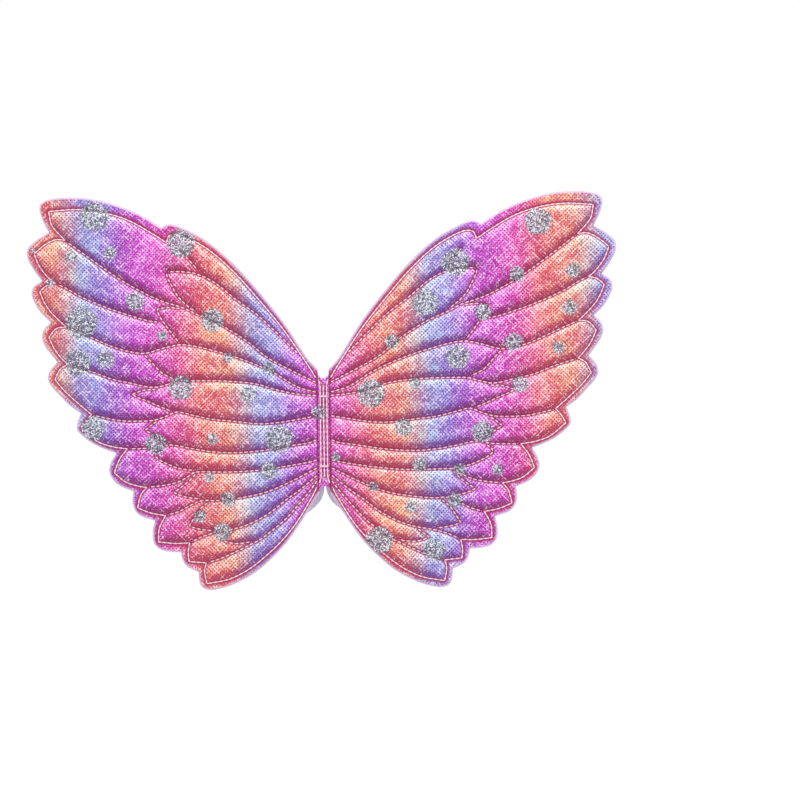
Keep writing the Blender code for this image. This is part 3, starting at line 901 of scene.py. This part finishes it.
@functools.lru_cache(maxsize=None)
def foil_fabric():
    """Shimmering foil cloth: soft rainbow bands and a diagonal weave, with painted highlights and glints,
    and painted shade on the lower slopes, in the weave's gaps and in the grooves.
    """
    looks = bpy.context.scene.fairy_wing_looks
    finish = Finish("foil_fabric", metallic=0.25, specular_ior_level=0.5, sheen_weight=0.1)
    place = finish.attribute("rest", vector=True)
    threads, rising, falling = weave(finish, place, 2.1)
    drift = finish.noise(place, 0.03, 2.0)
    out = finish.along(place, (1, 0, 0))
    band = (out - looks.band_start / MM) / (looks.band_period / MM) + (drift - 0.5) * 0.09
    band = band.maths("FRACT")
    plain, painted_highlight, shaded = (
        finish.ramp(band, [(row[0], srgb(*row[column])) for row in RAINBOW]) for column in (1, 2, 3))
    rising_streaks = finish.noise(finish.vector(rising * 0.1, falling * 0.6, 0.0), 1.0, 2.0, 0.6)
    falling_streaks = finish.noise(finish.vector(rising * 0.6, falling * 0.1, 9.0), 1.0, 2.0, 0.6)
    creases = rising_streaks.maths("MAXIMUM", falling_streaks)
    grain = finish.noise(place, 0.95, 2.0, 0.8)
    patches = finish.noise(place, 0.05, 2.0)
    lean = finish.attribute("lean")
    groove = finish.attribute("groove")
    # Painted sheen: crumple streaks, weave threads, broad patches and upward-facing slopes lift the colour
    # towards its painted highlight
    painted_sheen = creases * 0.9 + grain * 0.9 + patches * 0.9 + threads * 0.35 + lean * 0.2
    colour = finish.mix(painted_sheen.between(1.45, 2.1), plain, painted_highlight)
    # Painted shade: slopes that face down, just above each seam, turn towards the rainbow's shaded colour
    painted_underside_shade = (0.0 - lean).between(0.12, 0.75)
    colour = finish.mix(painted_underside_shade * looks.painted_underside_shade, colour, shaded)
    # Painted glints: small bright specks on the crumples and the weave, a few more on upward-facing slopes
    painted_glint = (creases * 1.4 + grain * 1.6 + threads * 0.36 + lean * 0.12).between(1.86, 2.18)
    colour = finish.mix(painted_glint * 0.72, colour, srgb(255, 232, 248))
    # Painted shade: dark specks in the weave's gaps and between the crumples
    painted_speck_shade = (creases * 0.9 + grain * 1.5 + threads * 0.5).between(1.62, 1.2)
    colour = finish.mix(painted_speck_shade * 0.85, colour, shaded)
    # Painted shade in the sewn grooves: the colour darkens to a deep raspberry towards each seam
    sewn = finish.mix(0.5, shaded, looks.groove_shade_colour[:] + (1.0,))
    colour = finish.mix(groove.between(1.9, 0.7) * 0.92, colour, sewn)
    glitter = finish.attribute("glitter")
    colour = finish.mix(glitter * 0.6, colour, srgb(118, 120, 128))
    finish.set("Base Color", colour)
    finish.set("Roughness", 0.5 - threads * 0.12 - painted_glint * 0.15)
    finish.bump(threads * 0.5 + grain * 0.8 + creases * 0.8, 0.0004, 0.8)
    return finish.material


@functools.lru_cache(maxsize=None)
def sponge():
    """Pale open-cell foam."""
    finish = Finish("sponge", roughness=0.95, specular_ior_level=0.2)
    place = finish.attribute("rest", vector=True)
    cells = finish.add("ShaderNodeTexVoronoi", None, {"Vector": place, "Scale": 1.6})
    blotch = finish.noise(place, 0.25)
    colour = finish.mix(cells.between(0.1, 0.7), srgb(176, 146, 190), srgb(226, 202, 232))
    colour = finish.mix(blotch * 0.4, colour, srgb(222, 178, 214))
    finish.set("Base Color", colour)
    finish.bump(cells, 0.0004, 0.7)
    return finish.material


@functools.lru_cache(maxsize=None)
def felt():
    """Soft pale felt with loose fibres."""
    looks = bpy.context.scene.fairy_wing_looks
    finish = Finish("felt", roughness=0.92, specular_ior_level=0.15, sheen_weight=0.4)
    place = finish.attribute("rest", vector=True)
    rising = finish.along(place, (0.6, 0.5, 0.62))
    falling = finish.along(place, (-0.7, 0.4, 0.58))
    lie = finish.noise(finish.vector(rising * 0.5, falling * 2.4, 0.0), 1.0, 3.0, 0.65)
    cross = finish.noise(finish.vector(rising * 2.2, falling * 0.6, 5.0), 1.0, 3.0, 0.65)
    fibres = lie.maths("MAXIMUM", cross).between(0.42, 0.72)
    cloud = finish.noise(place, 0.06, 3.0)
    base = looks.felt_colour[:] + (1.0,)
    colour = finish.mix(fibres * 0.5, base, srgb(232, 222, 240))
    colour = finish.mix(cloud * 0.3, colour, srgb(182, 166, 196))
    groove = finish.attribute("groove")
    # Painted shade: the felt darkens towards the seams, where it is drawn in
    colour = finish.mix(groove.between(2.6, 0.4) * 0.6, colour, srgb(150, 124, 168))
    finish.set("Base Color", colour)
    finish.bump(fibres, 0.00035, 0.8)
    return finish.material


@functools.lru_cache(maxsize=None)
def quilting_thread():
    """Satin thread of two twisted plies."""
    looks = bpy.context.scene.fairy_wing_looks
    finish = Finish("quilting_thread", roughness=0.45, sheen_weight=0.3)
    place = finish.attribute("rest", vector=True)
    slant = finish.along(place, (0.7, 0.3, 0.64))
    twist = (slant * 9.0).maths("SINE") * 0.5 + 0.5
    fuzz = finish.noise(place, 2.2, 3.0, 0.6)
    base = looks.thread_colour[:] + (1.0,)
    colour = finish.mix((1 - twist) * 0.2, base, srgb(232, 150, 184))
    colour = finish.mix(fuzz * 0.25, colour, srgb(255, 232, 240))
    finish.set("Base Color", colour)
    finish.bump(twist + fuzz * 0.3, 0.00015, 0.7)
    return finish.material


@functools.lru_cache(maxsize=None)
def glitter_flake():
    """Cut metal film; each flake's shade, from near black to white, is a painted reflection of how that
    flake catches the light.
    """
    finish = Finish("glitter_flake", metallic=0.35, roughness=0.3)
    # The flake's painted reflection: a random brightness from near black to white
    shade = finish.attribute("shade")
    place = finish.attribute("rest", vector=True)
    colour = finish.ramp(shade, [
        (0.0, srgb(20, 20, 30)), (1.0, srgb(255, 255, 255)), (0.25, srgb(84, 84, 100)),
        (0.5, srgb(164, 166, 186)), (0.72, srgb(224, 228, 242)),
    ])
    scuff = finish.noise(place, 4.0, 2.0)
    colour = finish.mix(scuff * 0.2, colour, srgb(176, 182, 196))
    finish.set("Base Color", colour)
    finish.set("Roughness", 0.22 + scuff * 0.2)
    finish.bump(scuff, 0.0001, 0.3)
    return finish.material


@functools.lru_cache(maxsize=None)
def elastic():
    """Flat woven elastic with fine ribs along it."""
    finish = Finish("elastic", roughness=0.7, specular_ior_level=0.3, sheen_weight=0.2)
    across = finish.attribute("across")
    along = finish.attribute("along")
    ribs = (across * (math.tau * 2.0)).maths("COSINE") * 0.5 + 0.5
    picks = (along * (math.tau / 0.9) + ribs * 3.1).maths("SINE") * 0.5 + 0.5
    place = finish.attribute("rest", vector=True)
    fuzz = finish.noise(place, 1.5, 3.0, 0.6)
    colour = finish.mix(ribs * 0.6, srgb(170, 162, 182), srgb(216, 210, 224))
    colour = finish.mix((1 - picks) * 0.4, colour, srgb(148, 140, 164))
    colour = finish.mix(fuzz * 0.2, colour, srgb(228, 222, 234))
    finish.set("Base Color", colour)
    finish.bump(ribs * 0.6 + picks * 0.5, 0.0003, 0.8)
    return finish.material


@functools.lru_cache(maxsize=None)
def floor_paint():
    """Matt, nearly white paint."""
    return Finish("floor_paint", roughness=1.0, specular_ior_level=0.0,
                  base_color=srgb(254, 254, 254)).material


def strewn(dots, pitch, draw):
    """Each flake of the dots: its flat place, spin, size, lean as a vector, and the brightness of its
    painted reflection.
    """
    for out, up, radius in dots:
        rows = int(radius / pitch) + 1
        for row in range(-rows, rows + 1):
            for column in range(-rows, rows + 1):
                place = Vector((column + draw.uniform(-0.32, 0.32), row + draw.uniform(-0.32, 0.32))) * pitch
                spin = draw.uniform(0, math.tau)
                size = pitch * draw.uniform(0.38, 0.6)
                lean = Vector((draw.gauss(0, 0.2), -1, draw.gauss(0, 0.2)))
                shade = draw.random()
                ragged = 0.97 + 0.05 * math.sin(5 * math.atan2(place.y, place.x))
                if place.length <= radius * ragged:
                    yield Vector((out, up)) + place, spin, size, lean, shade


def flakes_piece(name, dots, surface, side, seed, limit=math.inf):
    """Flakes scattered close together inside each dot, lying on a surface at random small tilts."""
    pitch = bpy.context.scene.fairy_wing_sizes.flake_pitch
    vertices = []
    faces = []
    painted_flake_glints = []
    for place, spin, size, lean, shade in strewn(dots, pitch, random.Random(seed)):
        hit, normal = touch(surface, place)
        if hit is None or abs(place.x) > limit:
            continue
        normal = normal if normal.y < 0 else -normal
        normal = (normal + 0.5 * lean).normalized()
        across = normal.cross(Vector((0, 0, 1))).normalized()
        upward = across.cross(normal)
        base = len(vertices)
        for lift in FLAKE_LIFTS:
            for corner in range(FLAKE_CORNERS):
                turn = spin + math.tau * corner / FLAKE_CORNERS
                spoke = across * math.cos(turn) + upward * math.sin(turn)
                spot = hit + normal * lift + spoke * size
                vertices.append((side * spot.x, spot.y, spot.z))
        top = base + FLAKE_CORNERS
        faces.append(tuple(range(top - 1, base - 1, -1)))
        faces.append(tuple(range(top, top + FLAKE_CORNERS)))
        for corner in range(FLAKE_CORNERS):
            after = (corner + 1) % FLAKE_CORNERS
            faces.append((base + corner, base + after, top + after, top + corner))
        # Each flake's painted reflection goes to all its corners
        painted_flake_glints += [shade] * (2 * FLAKE_CORNERS)
    piece = new_piece(name, vertices, faces, glitter_flake(), smooth=False)
    store(piece, "shade", painted_flake_glints)
    store_rest(piece)
    return piece


def glitter_shares(piece, dots, side):
    """How far each vertex of a piece lies inside a glitter dot."""
    return [dot_share(Vector((side * vertex.co.x, vertex.co.z)) / MM, dots)
            for vertex in piece.data.vertices]


def spine_outline():
    """The strip's outline, notched at both ends where the two cut edges meet."""
    half = SPINE_HALF
    cut = SPINE_NOTCH
    corners = [(-half, SPINE_FOOT + cut / 3), (-cut / 2, SPINE_FOOT + cut), (cut / 2, SPINE_FOOT + cut),
               (half, SPINE_FOOT + cut / 3), (half, SPINE_TOP), (cut / 2, SPINE_TOP - cut),
               (-cut / 2, SPINE_TOP - cut), (-half, SPINE_TOP)]
    corners = [Vector(corner) for corner in corners]
    outline = []
    for start, end in zip(corners, corners[1:] + corners[:1]):
        outline += spaced([start, end], LINE_STEP)[:-1]
    return outline


def spine_seams():
    """The three lines down the spine; the outer two run out to the wings' outline seams at both ends."""
    seams = {}
    for name, out in SPINE_SEAMS.items():
        flare = SPINE_FLARE * out
        run = [Vector((flare, -SPINE_FLARE_TOP)), Vector((out, -SPINE_SEAM_TOP)),
               Vector((out, SPINE_SEAM_TOP)), Vector((flare, SPINE_FLARE_TOP))]
        seams[name] = run if out else run[1:3]
    return seams


@functools.lru_cache(maxsize=None)
def spine_pattern():
    """The spine's field and the depths of its front fabric, held down by three seams."""
    seams = spine_seams()
    near = Nearest(seams)
    pattern = Pattern(spine_outline(), seams, (0.5,), 1.0, 0.8, seed=13)
    depths = []
    for point in pattern.points:
        rise = puffed(near.distance(point), 1.0)
        crease = 0.12 * noise.noise(Vector((point.x * 0.6, point.y * 0.35, 2.0)))
        depths.append(SPINE_SEAM_DEPTH + (SPINE_PUFF + crease) * rise)
    return pattern, depths, pattern.surface(depths)


class FairyWingSizes(bpy.types.PropertyGroup):
    """Sizes of the quilting, the threads and the glitter, in millimetres"""

    seam_depth: FloatProperty(name="Seam depth", default=5.6, min=4.5, max=7.0,
                              description="How far the sewn grooves stand in front of the back rest")
    puff: FloatProperty(name="Puff", default=3.6, min=0.0, max=4.0,
                        description="How far a full panel stands in front of its seams")
    puff_reach: FloatProperty(name="Puff reach", default=6.5, min=1.0, max=20.0,
                              description="How far from a seam a panel is full")
    margin_puff: FloatProperty(name="Border puff", default=1.9, min=0.0, max=3.0,
                               description="How far the border outside the outline seam stands out")
    margin_reach: FloatProperty(name="Border reach", default=4.0, min=1.0, max=10.0,
                                description="How far from the outline seam the border is full")
    rim_depth: FloatProperty(name="Rim depth", default=5.0, min=4.2, max=6.0,
                             description="How far the foam's cut edge stands in front of the back rest")
    crumple: FloatProperty(name="Crumple", default=0.3, min=0.0, max=1.0,
                           description="Height of the small creases in the front fabric")
    thread_width: FloatProperty(name="Thread width", default=1.2, min=0.3, max=2.0,
                                description="Width of the quilting thread")
    stitch_pitch: FloatProperty(name="Stitch pitch", default=4.2, min=1.5, max=6.0,
                                description="Distance from one stitch to the next")
    stitch_share: FloatProperty(name="Stitch share", default=0.68, min=0.3, max=0.95,
                                description="Share of the pitch that a stitch covers")
    flake_pitch: FloatProperty(name="Flake pitch", default=1.0, min=0.6, max=3.0,
                               description="Distance between glitter flakes")


class FairyWingLooks(bpy.types.PropertyGroup):
    """Colours of the cloth, the felt and the threads, and the painted shade of the foil's lower slopes and
    grooves
    """

    band_start: FloatProperty(name="Band start", default=2.5 * MM, subtype="DISTANCE", unit="LENGTH",
                              description="Where across the wings a magenta band is centred")
    band_period: FloatProperty(name="Band period", default=135 * MM, min=0.02, subtype="DISTANCE",
                               unit="LENGTH", description="Width in which the rainbow repeats")
    # How deep the painted shade is on the panels' lower slopes
    painted_underside_shade: FloatProperty(name="Underside", default=0.9, min=0.0, max=1.0, subtype="FACTOR",
                             description="How deep the colour is on the lower slopes of the panels")
    # Colour of the painted shade deep in the sewn grooves
    groove_shade_colour: FloatVectorProperty(name="Groove", default=srgb(186, 26, 96)[:3], subtype="COLOR",
                                       min=0.0, max=1.0, description="Colour deep in the sewn grooves")
    thread_colour: FloatVectorProperty(name="Thread", default=srgb(255, 228, 234)[:3], subtype="COLOR",
                                       min=0.0, max=1.0, description="Colour of the quilting thread")
    felt_colour: FloatVectorProperty(name="Felt", default=srgb(206, 188, 218)[:3], subtype="COLOR",
                                     min=0.0, max=1.0, description="Colour of the felt backing")


class FairyWingStage(bpy.types.PropertyGroup):
    """Light on the wings"""

    sky: FloatProperty(name="Sky", default=1.0, min=0.0, max=3.0,
                       description="Strength of the even white light all round")
    lamp: FloatProperty(name="Lamp", default=7.0, min=0.0, max=100.0, subtype="POWER",
                        description="Power of the soft lamp above and in front")


class FAIRYWINGS_OT_foam(bpy.types.Operator):
    """Make the foam body of both wings and of the spine"""

    bl_idname = "fairy_wings.foam"
    bl_label = "Foam"

    def execute(self, context):
        pattern, front = core_pattern()
        back = [BACKING_FRONT] * len(front)
        for side_name, side in SIDES:
            piece = layer_piece(f"{side_name}_wing_foam", pattern, front, back, side, sponge())
            bend_at_root(piece, side_name, side)
            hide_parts(f"{side_name}_wing_foam_core")
        pattern, fabric, _ = spine_pattern()
        front = [depth - SPINE_FOAM_SINK for depth in fabric]
        back = [SPINE_CORE_BACK] * len(front)
        piece = layer_piece("spine_foam", pattern, front, back, 1, sponge())
        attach(piece, "spine")
        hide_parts("spine_core")
        return {"FINISHED"}


class FAIRYWINGS_OT_front_fabric(bpy.types.Operator):
    """Lay the quilted foil fabric over the foam of both wings and of the spine"""

    bl_idname = "fairy_wings.front_fabric"
    bl_label = "Front fabric"

    def execute(self, context):
        quilt = wing_quilt()
        pattern, front, _ = front_pattern()
        back = [depth - FABRIC_THICKNESS for depth in front]
        distances = [quilt.groove(point) for point in pattern.points]
        # The lean, how far the cloth faces up, drives the foil's painted highlights and painted shade
        leans = eased([quilt.lean(point) for point in pattern.points], pattern, 4)
        for side_name, side in SIDES:
            name = f"{side_name}_wing_quilted_fabric"
            piece = layer_piece(name, pattern, front, back, side, foil_fabric())
            # The groove distance drives the foil's painted shade along the seams
            store(piece, "groove", distances * 2)
            store(piece, "lean", leans * 2)
            store(piece, "glitter", glitter_shares(piece, GLITTER_DOTS[side_name], side))
            bend_at_root(piece, side_name, side)
            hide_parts(f"{side_name}_wing_front_fabric")
        near = Nearest(spine_seams())
        pattern, front, _ = spine_pattern()
        back = [depth - FABRIC_THICKNESS for depth in front]
        piece = layer_piece("spine_quilted_fabric", pattern, front, back, 1, foil_fabric())
        # The groove distance drives the painted shade along the spine's seams
        store(piece, "groove", [near.distance(point) + 0.3 for point in pattern.points] * 2)
        store(piece, "lean", [0.0] * 2 * len(front))
        store(piece, "glitter", glitter_shares(piece, [SPINE_DOT], 1))
        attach(piece, "spine")
        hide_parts("spine_front_fabric")
        return {"FINISHED"}


class FAIRYWINGS_OT_backing(bpy.types.Operator):
    """Cover the backs with felt, drawn in a little along every seam, and pad the spine"""

    bl_idname = "fairy_wings.backing"
    bl_label = "Felt backing"

    def execute(self, context):
        quilt = wing_quilt()
        pattern, _ = core_pattern()
        distances = [quilt.near.distance(point) for point in pattern.points]
        back = [BACKING_BACK + BACKING_DRAW * (1 - puffed(distance, 6.0)) for distance in distances]
        front = [BACKING_FRONT] * len(back)
        for side_name, side in SIDES:
            piece = layer_piece(f"{side_name}_wing_felt", pattern, front, back, side, felt())
            # The groove distance drives the felt's painted shade along the seams
            store(piece, "groove", distances * 2)
            bend_at_root(piece, side_name, side)
            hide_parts(f"{side_name}_wing_backing")
        pattern = spine_pattern()[0]
        back = []
        for point in pattern.points:
            to_end = min(point.y - PAD_FOOT, PAD_TOP - point.y)
            proud = smoothstep(-0.6, 0.9, to_end)
            fold = abs(0.06 * noise.noise(Vector((point.x * 0.5, point.y * 0.5, 4.0))))
            back.append(PAD_PROUD * (1 - proud) + fold)
        front = [BACKING_FRONT] * len(back)
        piece = layer_piece("spine_felt", pattern, front, back, 1, felt())
        store(piece, "groove", [NO_GROOVE] * 2 * len(back))
        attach(piece, "spine")
        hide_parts("spine_backing")
        return {"FINISHED"}


class FAIRYWINGS_OT_seams(bpy.types.Operator):
    """Sew the outline, the panel seams and the spine's three lines, front and back"""

    bl_idname = "fairy_wings.seams"
    bl_label = "Seams"

    def execute(self, context):
        for side_name, side in SIDES:
            self.sew_wing(side_name, side)
        floor = depth_on(spine_pattern()[2], SPINE_SEAM_DEPTH)
        for name, line in spine_seams().items():
            piece = stitched_line(f"spine_{name}_stitches", line, floor, 1, SPINE_SEAM_DIP, [SPINE_DOT])
            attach(piece, "spine")
            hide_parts(f"spine_seam_{name}")
        thick = 0.32
        half_width = thick * context.scene.fairy_wing_sizes.thread_width
        for name, height in BAR_TACKS.items():
            piece = zigzag(f"bar_tack_{name}_stitches", Vector((0, height)), BAR_TACK_LENGTH, 0.5, 9, 0.22,
                           BAR_TACK_DEPTH, half_width, thick, 1)
            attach(piece, "spine")
            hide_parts(f"bar_tack_{name}")
        return {"FINISHED"}

    def sew_wing(self, side_name, side):
        """Every seam of one wing in front, and the bobbin thread of them all as one piece behind."""
        floor = depth_on(front_pattern()[2], bpy.context.scene.fairy_wing_sizes.seam_depth)
        behind = []
        for name, line in wing_quilt().seams.items():
            dip = OUTLINE_DIP if name == "outline" else PANEL_SEAM_DIP
            piece = stitched_line(f"{side_name}_{name}_stitches", line, floor, side, dip,
                                  GLITTER_DOTS[side_name])
            if min(point.x for point in line) < BEND_END:
                bend_at_root(piece, side_name, side)
            else:
                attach(piece, f"{side_name}_wing")
            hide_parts(f"{side_name}_{name}_seam")
            behind.append(stitched_line("behind", line, lambda _: BOBBIN_DEPTH, side, BOBBIN_DIP))
        piece = joined_piece(f"{side_name}_wing_bobbin_stitches", behind)
        bend_at_root(piece, side_name, side)


class FAIRYWINGS_OT_glitter(bpy.types.Operator):
    """Scatter glitter flakes in round dots over both wings and the spine"""

    bl_idname = "fairy_wings.glitter"
    bl_label = "Glitter dots"

    def execute(self, context):
        surface = front_pattern()[2]
        for seed, (side_name, side) in enumerate(SIDES, 21):
            piece = flakes_piece(f"{side_name}_wing_glitter", GLITTER_DOTS[side_name], surface, side, seed)
            bend_at_root(piece, side_name, side)
        surface = spine_pattern()[2]
        piece = flakes_piece("spine_glitter", [SPINE_DOT], surface, 1, 31, SPINE_HALF - SPINE_FLAKE_MARGIN)
        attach(piece, "spine")
        return {"FINISHED"}


def strap_angle(away):
    """How far the strap has turned to its own side at a distance from the spine."""
    return STRAP_SPLAY * smoothstep(0, STRAP_SPLAY_REACH, away)


def strap_place(away):
    """How far out and back from its sewn ends the strap is, at that distance along its splay."""
    steps = 24
    angles = [strap_angle(away * (index + 0.5) / steps) for index in range(steps)]
    out = sum(math.sin(angle) for angle in angles) * away / steps
    back = sum(math.cos(angle) for angle in angles) * away / steps
    return out, back


def strap_frames():
    """The right strap's centre line, with the ways of its width and thickness at each point."""
    places = []
    across = []
    for away, up in smooth_run(STRAP_ROUTE, STRAP_STEP):
        away = max(away, 0)
        angle = strap_angle(away)
        out, back = strap_place(away)
        places.append(Vector((STRAP_AXIS_OUT + out, back - STRAP_AXIS_DEPTH, up)))
        across.append(Vector((math.cos(angle), -math.sin(angle), 0)))
    frames = []
    for index, (place, width_way) in enumerate(zip(places, across)):
        ahead = places[min(index + 1, len(places) - 1)]
        way = (ahead - places[max(index - 1, 0)]).normalized()
        width_way = (width_way - way * width_way.dot(way)).normalized()
        frames.append((place, width_way, way.cross(width_way).normalized()))
    return frames


def strap_section():
    """The band's section, (across, through): shallow ribs on both faces and rounded edges."""
    section = []
    for face in (1, -1):
        for index in range(STRAP_RIBS * 2 + 1):
            share = (1 - index / STRAP_RIBS) * face
            rib = 0.5 * STRAP_THICKNESS * (1.0 if index % 2 else 0.84)
            edge = 0.35 + 0.65 * smoothstep(1.0, 0.86, abs(share))
            section.append((share * 0.99 * STRAP_WIDTH / 2, face * rib * edge))
    return section


class FAIRYWINGS_OT_straps(bpy.types.Operator):
    """Make both elastic loops and the stitching that holds their ends to the spine"""

    bl_idname = "fairy_wings.straps"
    bl_label = "Elastic straps"

    def execute(self, context):
        for side_name, side in SIDES:
            piece = self.band(f"{side_name}_woven_strap", side)
            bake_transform(piece)
            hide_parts(f"{side_name}_elastic_strap")
            piece = self.end_stitches(f"{side_name}_strap_stitches", side)
            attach(piece, "spine")
        return {"FINISHED"}

    def band(self, name, side):
        """A flat band along the strap's route, which keeps its ribs' places for the material."""
        section = strap_section()
        rings = []
        across = []
        along = []
        travelled = 0.0
        before = None
        for place, width_way, thick_way in strap_frames():
            travelled += (place - before).length if before else 0.0
            before = place
            ring = [place + width_way * wide + thick_way * thick for wide, thick in section]
            rings.append([(side * spot.x, spot.y, spot.z) for spot in ring])
            across += [wide for wide, _ in section]
            along += [travelled] * len(section)
        piece = tube_piece(name, rings, elastic())
        store(piece, "across", across)
        store(piece, "along", along)
        return piece

    def end_stitches(self, name, side):
        """A zigzag across the strap near both of its sewn ends, on the wearer's side."""
        half_width = 0.22 * bpy.context.scene.fairy_wing_sizes.thread_width
        reach = STRAP_WIDTH - 2 * STRAP_STITCH_MARGIN
        parts = [zigzag("stitches", Vector((STRAP_AXIS_OUT, height)), reach, 0.6, 7, 0.25,
                        STRAP_STITCH_DEPTH, half_width, 0.2, side) for height in STRAP_STITCH_ROWS]
        return joined_piece(name, parts)


class FAIRYWINGS_OT_stage(bpy.types.Operator):
    """Set the camera, the even white light, the lamp above and the pale floor"""

    bl_idname = "fairy_wings.stage"
    bl_label = "Camera, light and floor"

    def execute(self, context):
        scene = context.scene
        stage = scene.fairy_wing_stage
        camera = bpy.data.objects.new("camera", bpy.data.cameras.new("camera"))
        camera.data.lens = LENS
        camera.data.sensor_width = SENSOR
        distance = VIEW_WIDTH * LENS / SENSOR + FACE_DEPTH
        place = Vector((CAMERA_OUT, -distance, CAMERA_UP)) * MM
        turn = Matrix.Rotation(math.radians(90), 4, "X") @ Matrix.Rotation(CAMERA_ROLL, 4, "Z")
        camera.matrix_world = Matrix.Translation(place) @ turn
        scene.collection.objects.link(camera)
        scene.camera = camera

        world = scene.world or bpy.data.worlds.new("studio")
        scene.world = world
        world.use_nodes = True
        sky = world.node_tree.nodes["Background"]
        sky.inputs["Strength"].default_value = stage.sky
        sky.inputs["Color"].default_value = (1, 1, 1, 1)

        self.lamp(scene, "lamp_above", (0.15, -0.45, 1.1), 0.7, stage.lamp)
        self.lamp(scene, "lamp_behind", (-0.3, 0.8, 0.9), 0.7, stage.lamp * 0.5)

        mesh = bpy.data.meshes.new("floor")
        half = FLOOR_SIZE / 2 * MM
        drop = -FLOOR_DROP * MM
        corners = [(-half, -half, drop), (half, -half, drop), (half, half, drop), (-half, half, drop)]
        mesh.from_pydata(corners, [], [(0, 1, 2, 3)])
        mesh.materials.append(floor_paint())
        floor = bpy.data.objects.new("floor", mesh)
        scene.collection.objects.link(floor)
        scene.view_settings.view_transform = "Standard"
        scene.view_settings.look = "None"
        return {"FINISHED"}

    def lamp(self, scene, name, place, size, power):
        """A square soft lamp that faces the middle of the wings."""
        data = bpy.data.lights.new(name, "AREA")
        data.energy = power
        data.size = size
        lamp = bpy.data.objects.new(name, data)
        lamp.location = place
        lamp.rotation_euler = (-Vector(place)).to_track_quat("-Z", "Y").to_euler()
        scene.collection.objects.link(lamp)


MAKERS = (
    FAIRYWINGS_OT_stage, FAIRYWINGS_OT_foam, FAIRYWINGS_OT_front_fabric, FAIRYWINGS_OT_backing,
    FAIRYWINGS_OT_seams, FAIRYWINGS_OT_glitter, FAIRYWINGS_OT_straps,
)


class FAIRYWINGS_PT_panel(bpy.types.Panel):
    """The wings' sizes, colours and makers"""

    bl_idname = "FAIRYWINGS_PT_panel"
    bl_label = "Fairy Wings"
    bl_space_type = "VIEW_3D"
    bl_region_type = "UI"
    bl_category = "Fairy Wings"

    def draw(self, context):
        scene = context.scene
        for group in (scene.fairy_wing_sizes, scene.fairy_wing_looks, scene.fairy_wing_stage):
            box = self.layout.box()
            for name in group.__annotations__:
                box.prop(group, name)
        for maker in MAKERS:
            self.layout.operator(maker.bl_idname)


GROUPS = {
    "fairy_wing_sizes": FairyWingSizes,
    "fairy_wing_looks": FairyWingLooks,
    "fairy_wing_stage": FairyWingStage,
}


def register():
    """Adds the classes, and the sizes, looks and stage to every scene."""
    for group in GROUPS.values():
        bpy.utils.register_class(group)
    for name, group in GROUPS.items():
        setattr(bpy.types.Scene, name, PointerProperty(type=group))
    for maker in MAKERS:
        bpy.utils.register_class(maker)
    bpy.utils.register_class(FAIRYWINGS_PT_panel)


def unregister():
    """Takes away what register added."""
    bpy.utils.unregister_class(FAIRYWINGS_PT_panel)
    for maker in reversed(MAKERS):
        bpy.utils.unregister_class(maker)
    for name in GROUPS:
        delattr(bpy.types.Scene, name)
    for group in reversed(GROUPS.values()):
        bpy.utils.unregister_class(group)


def main():
    """Makes the wings and their stage."""
    register()
    for maker in MAKERS:
        area, name = maker.bl_idname.split(".")
        getattr(getattr(bpy.ops, area), name)()


if __name__ == "__main__":
    main()
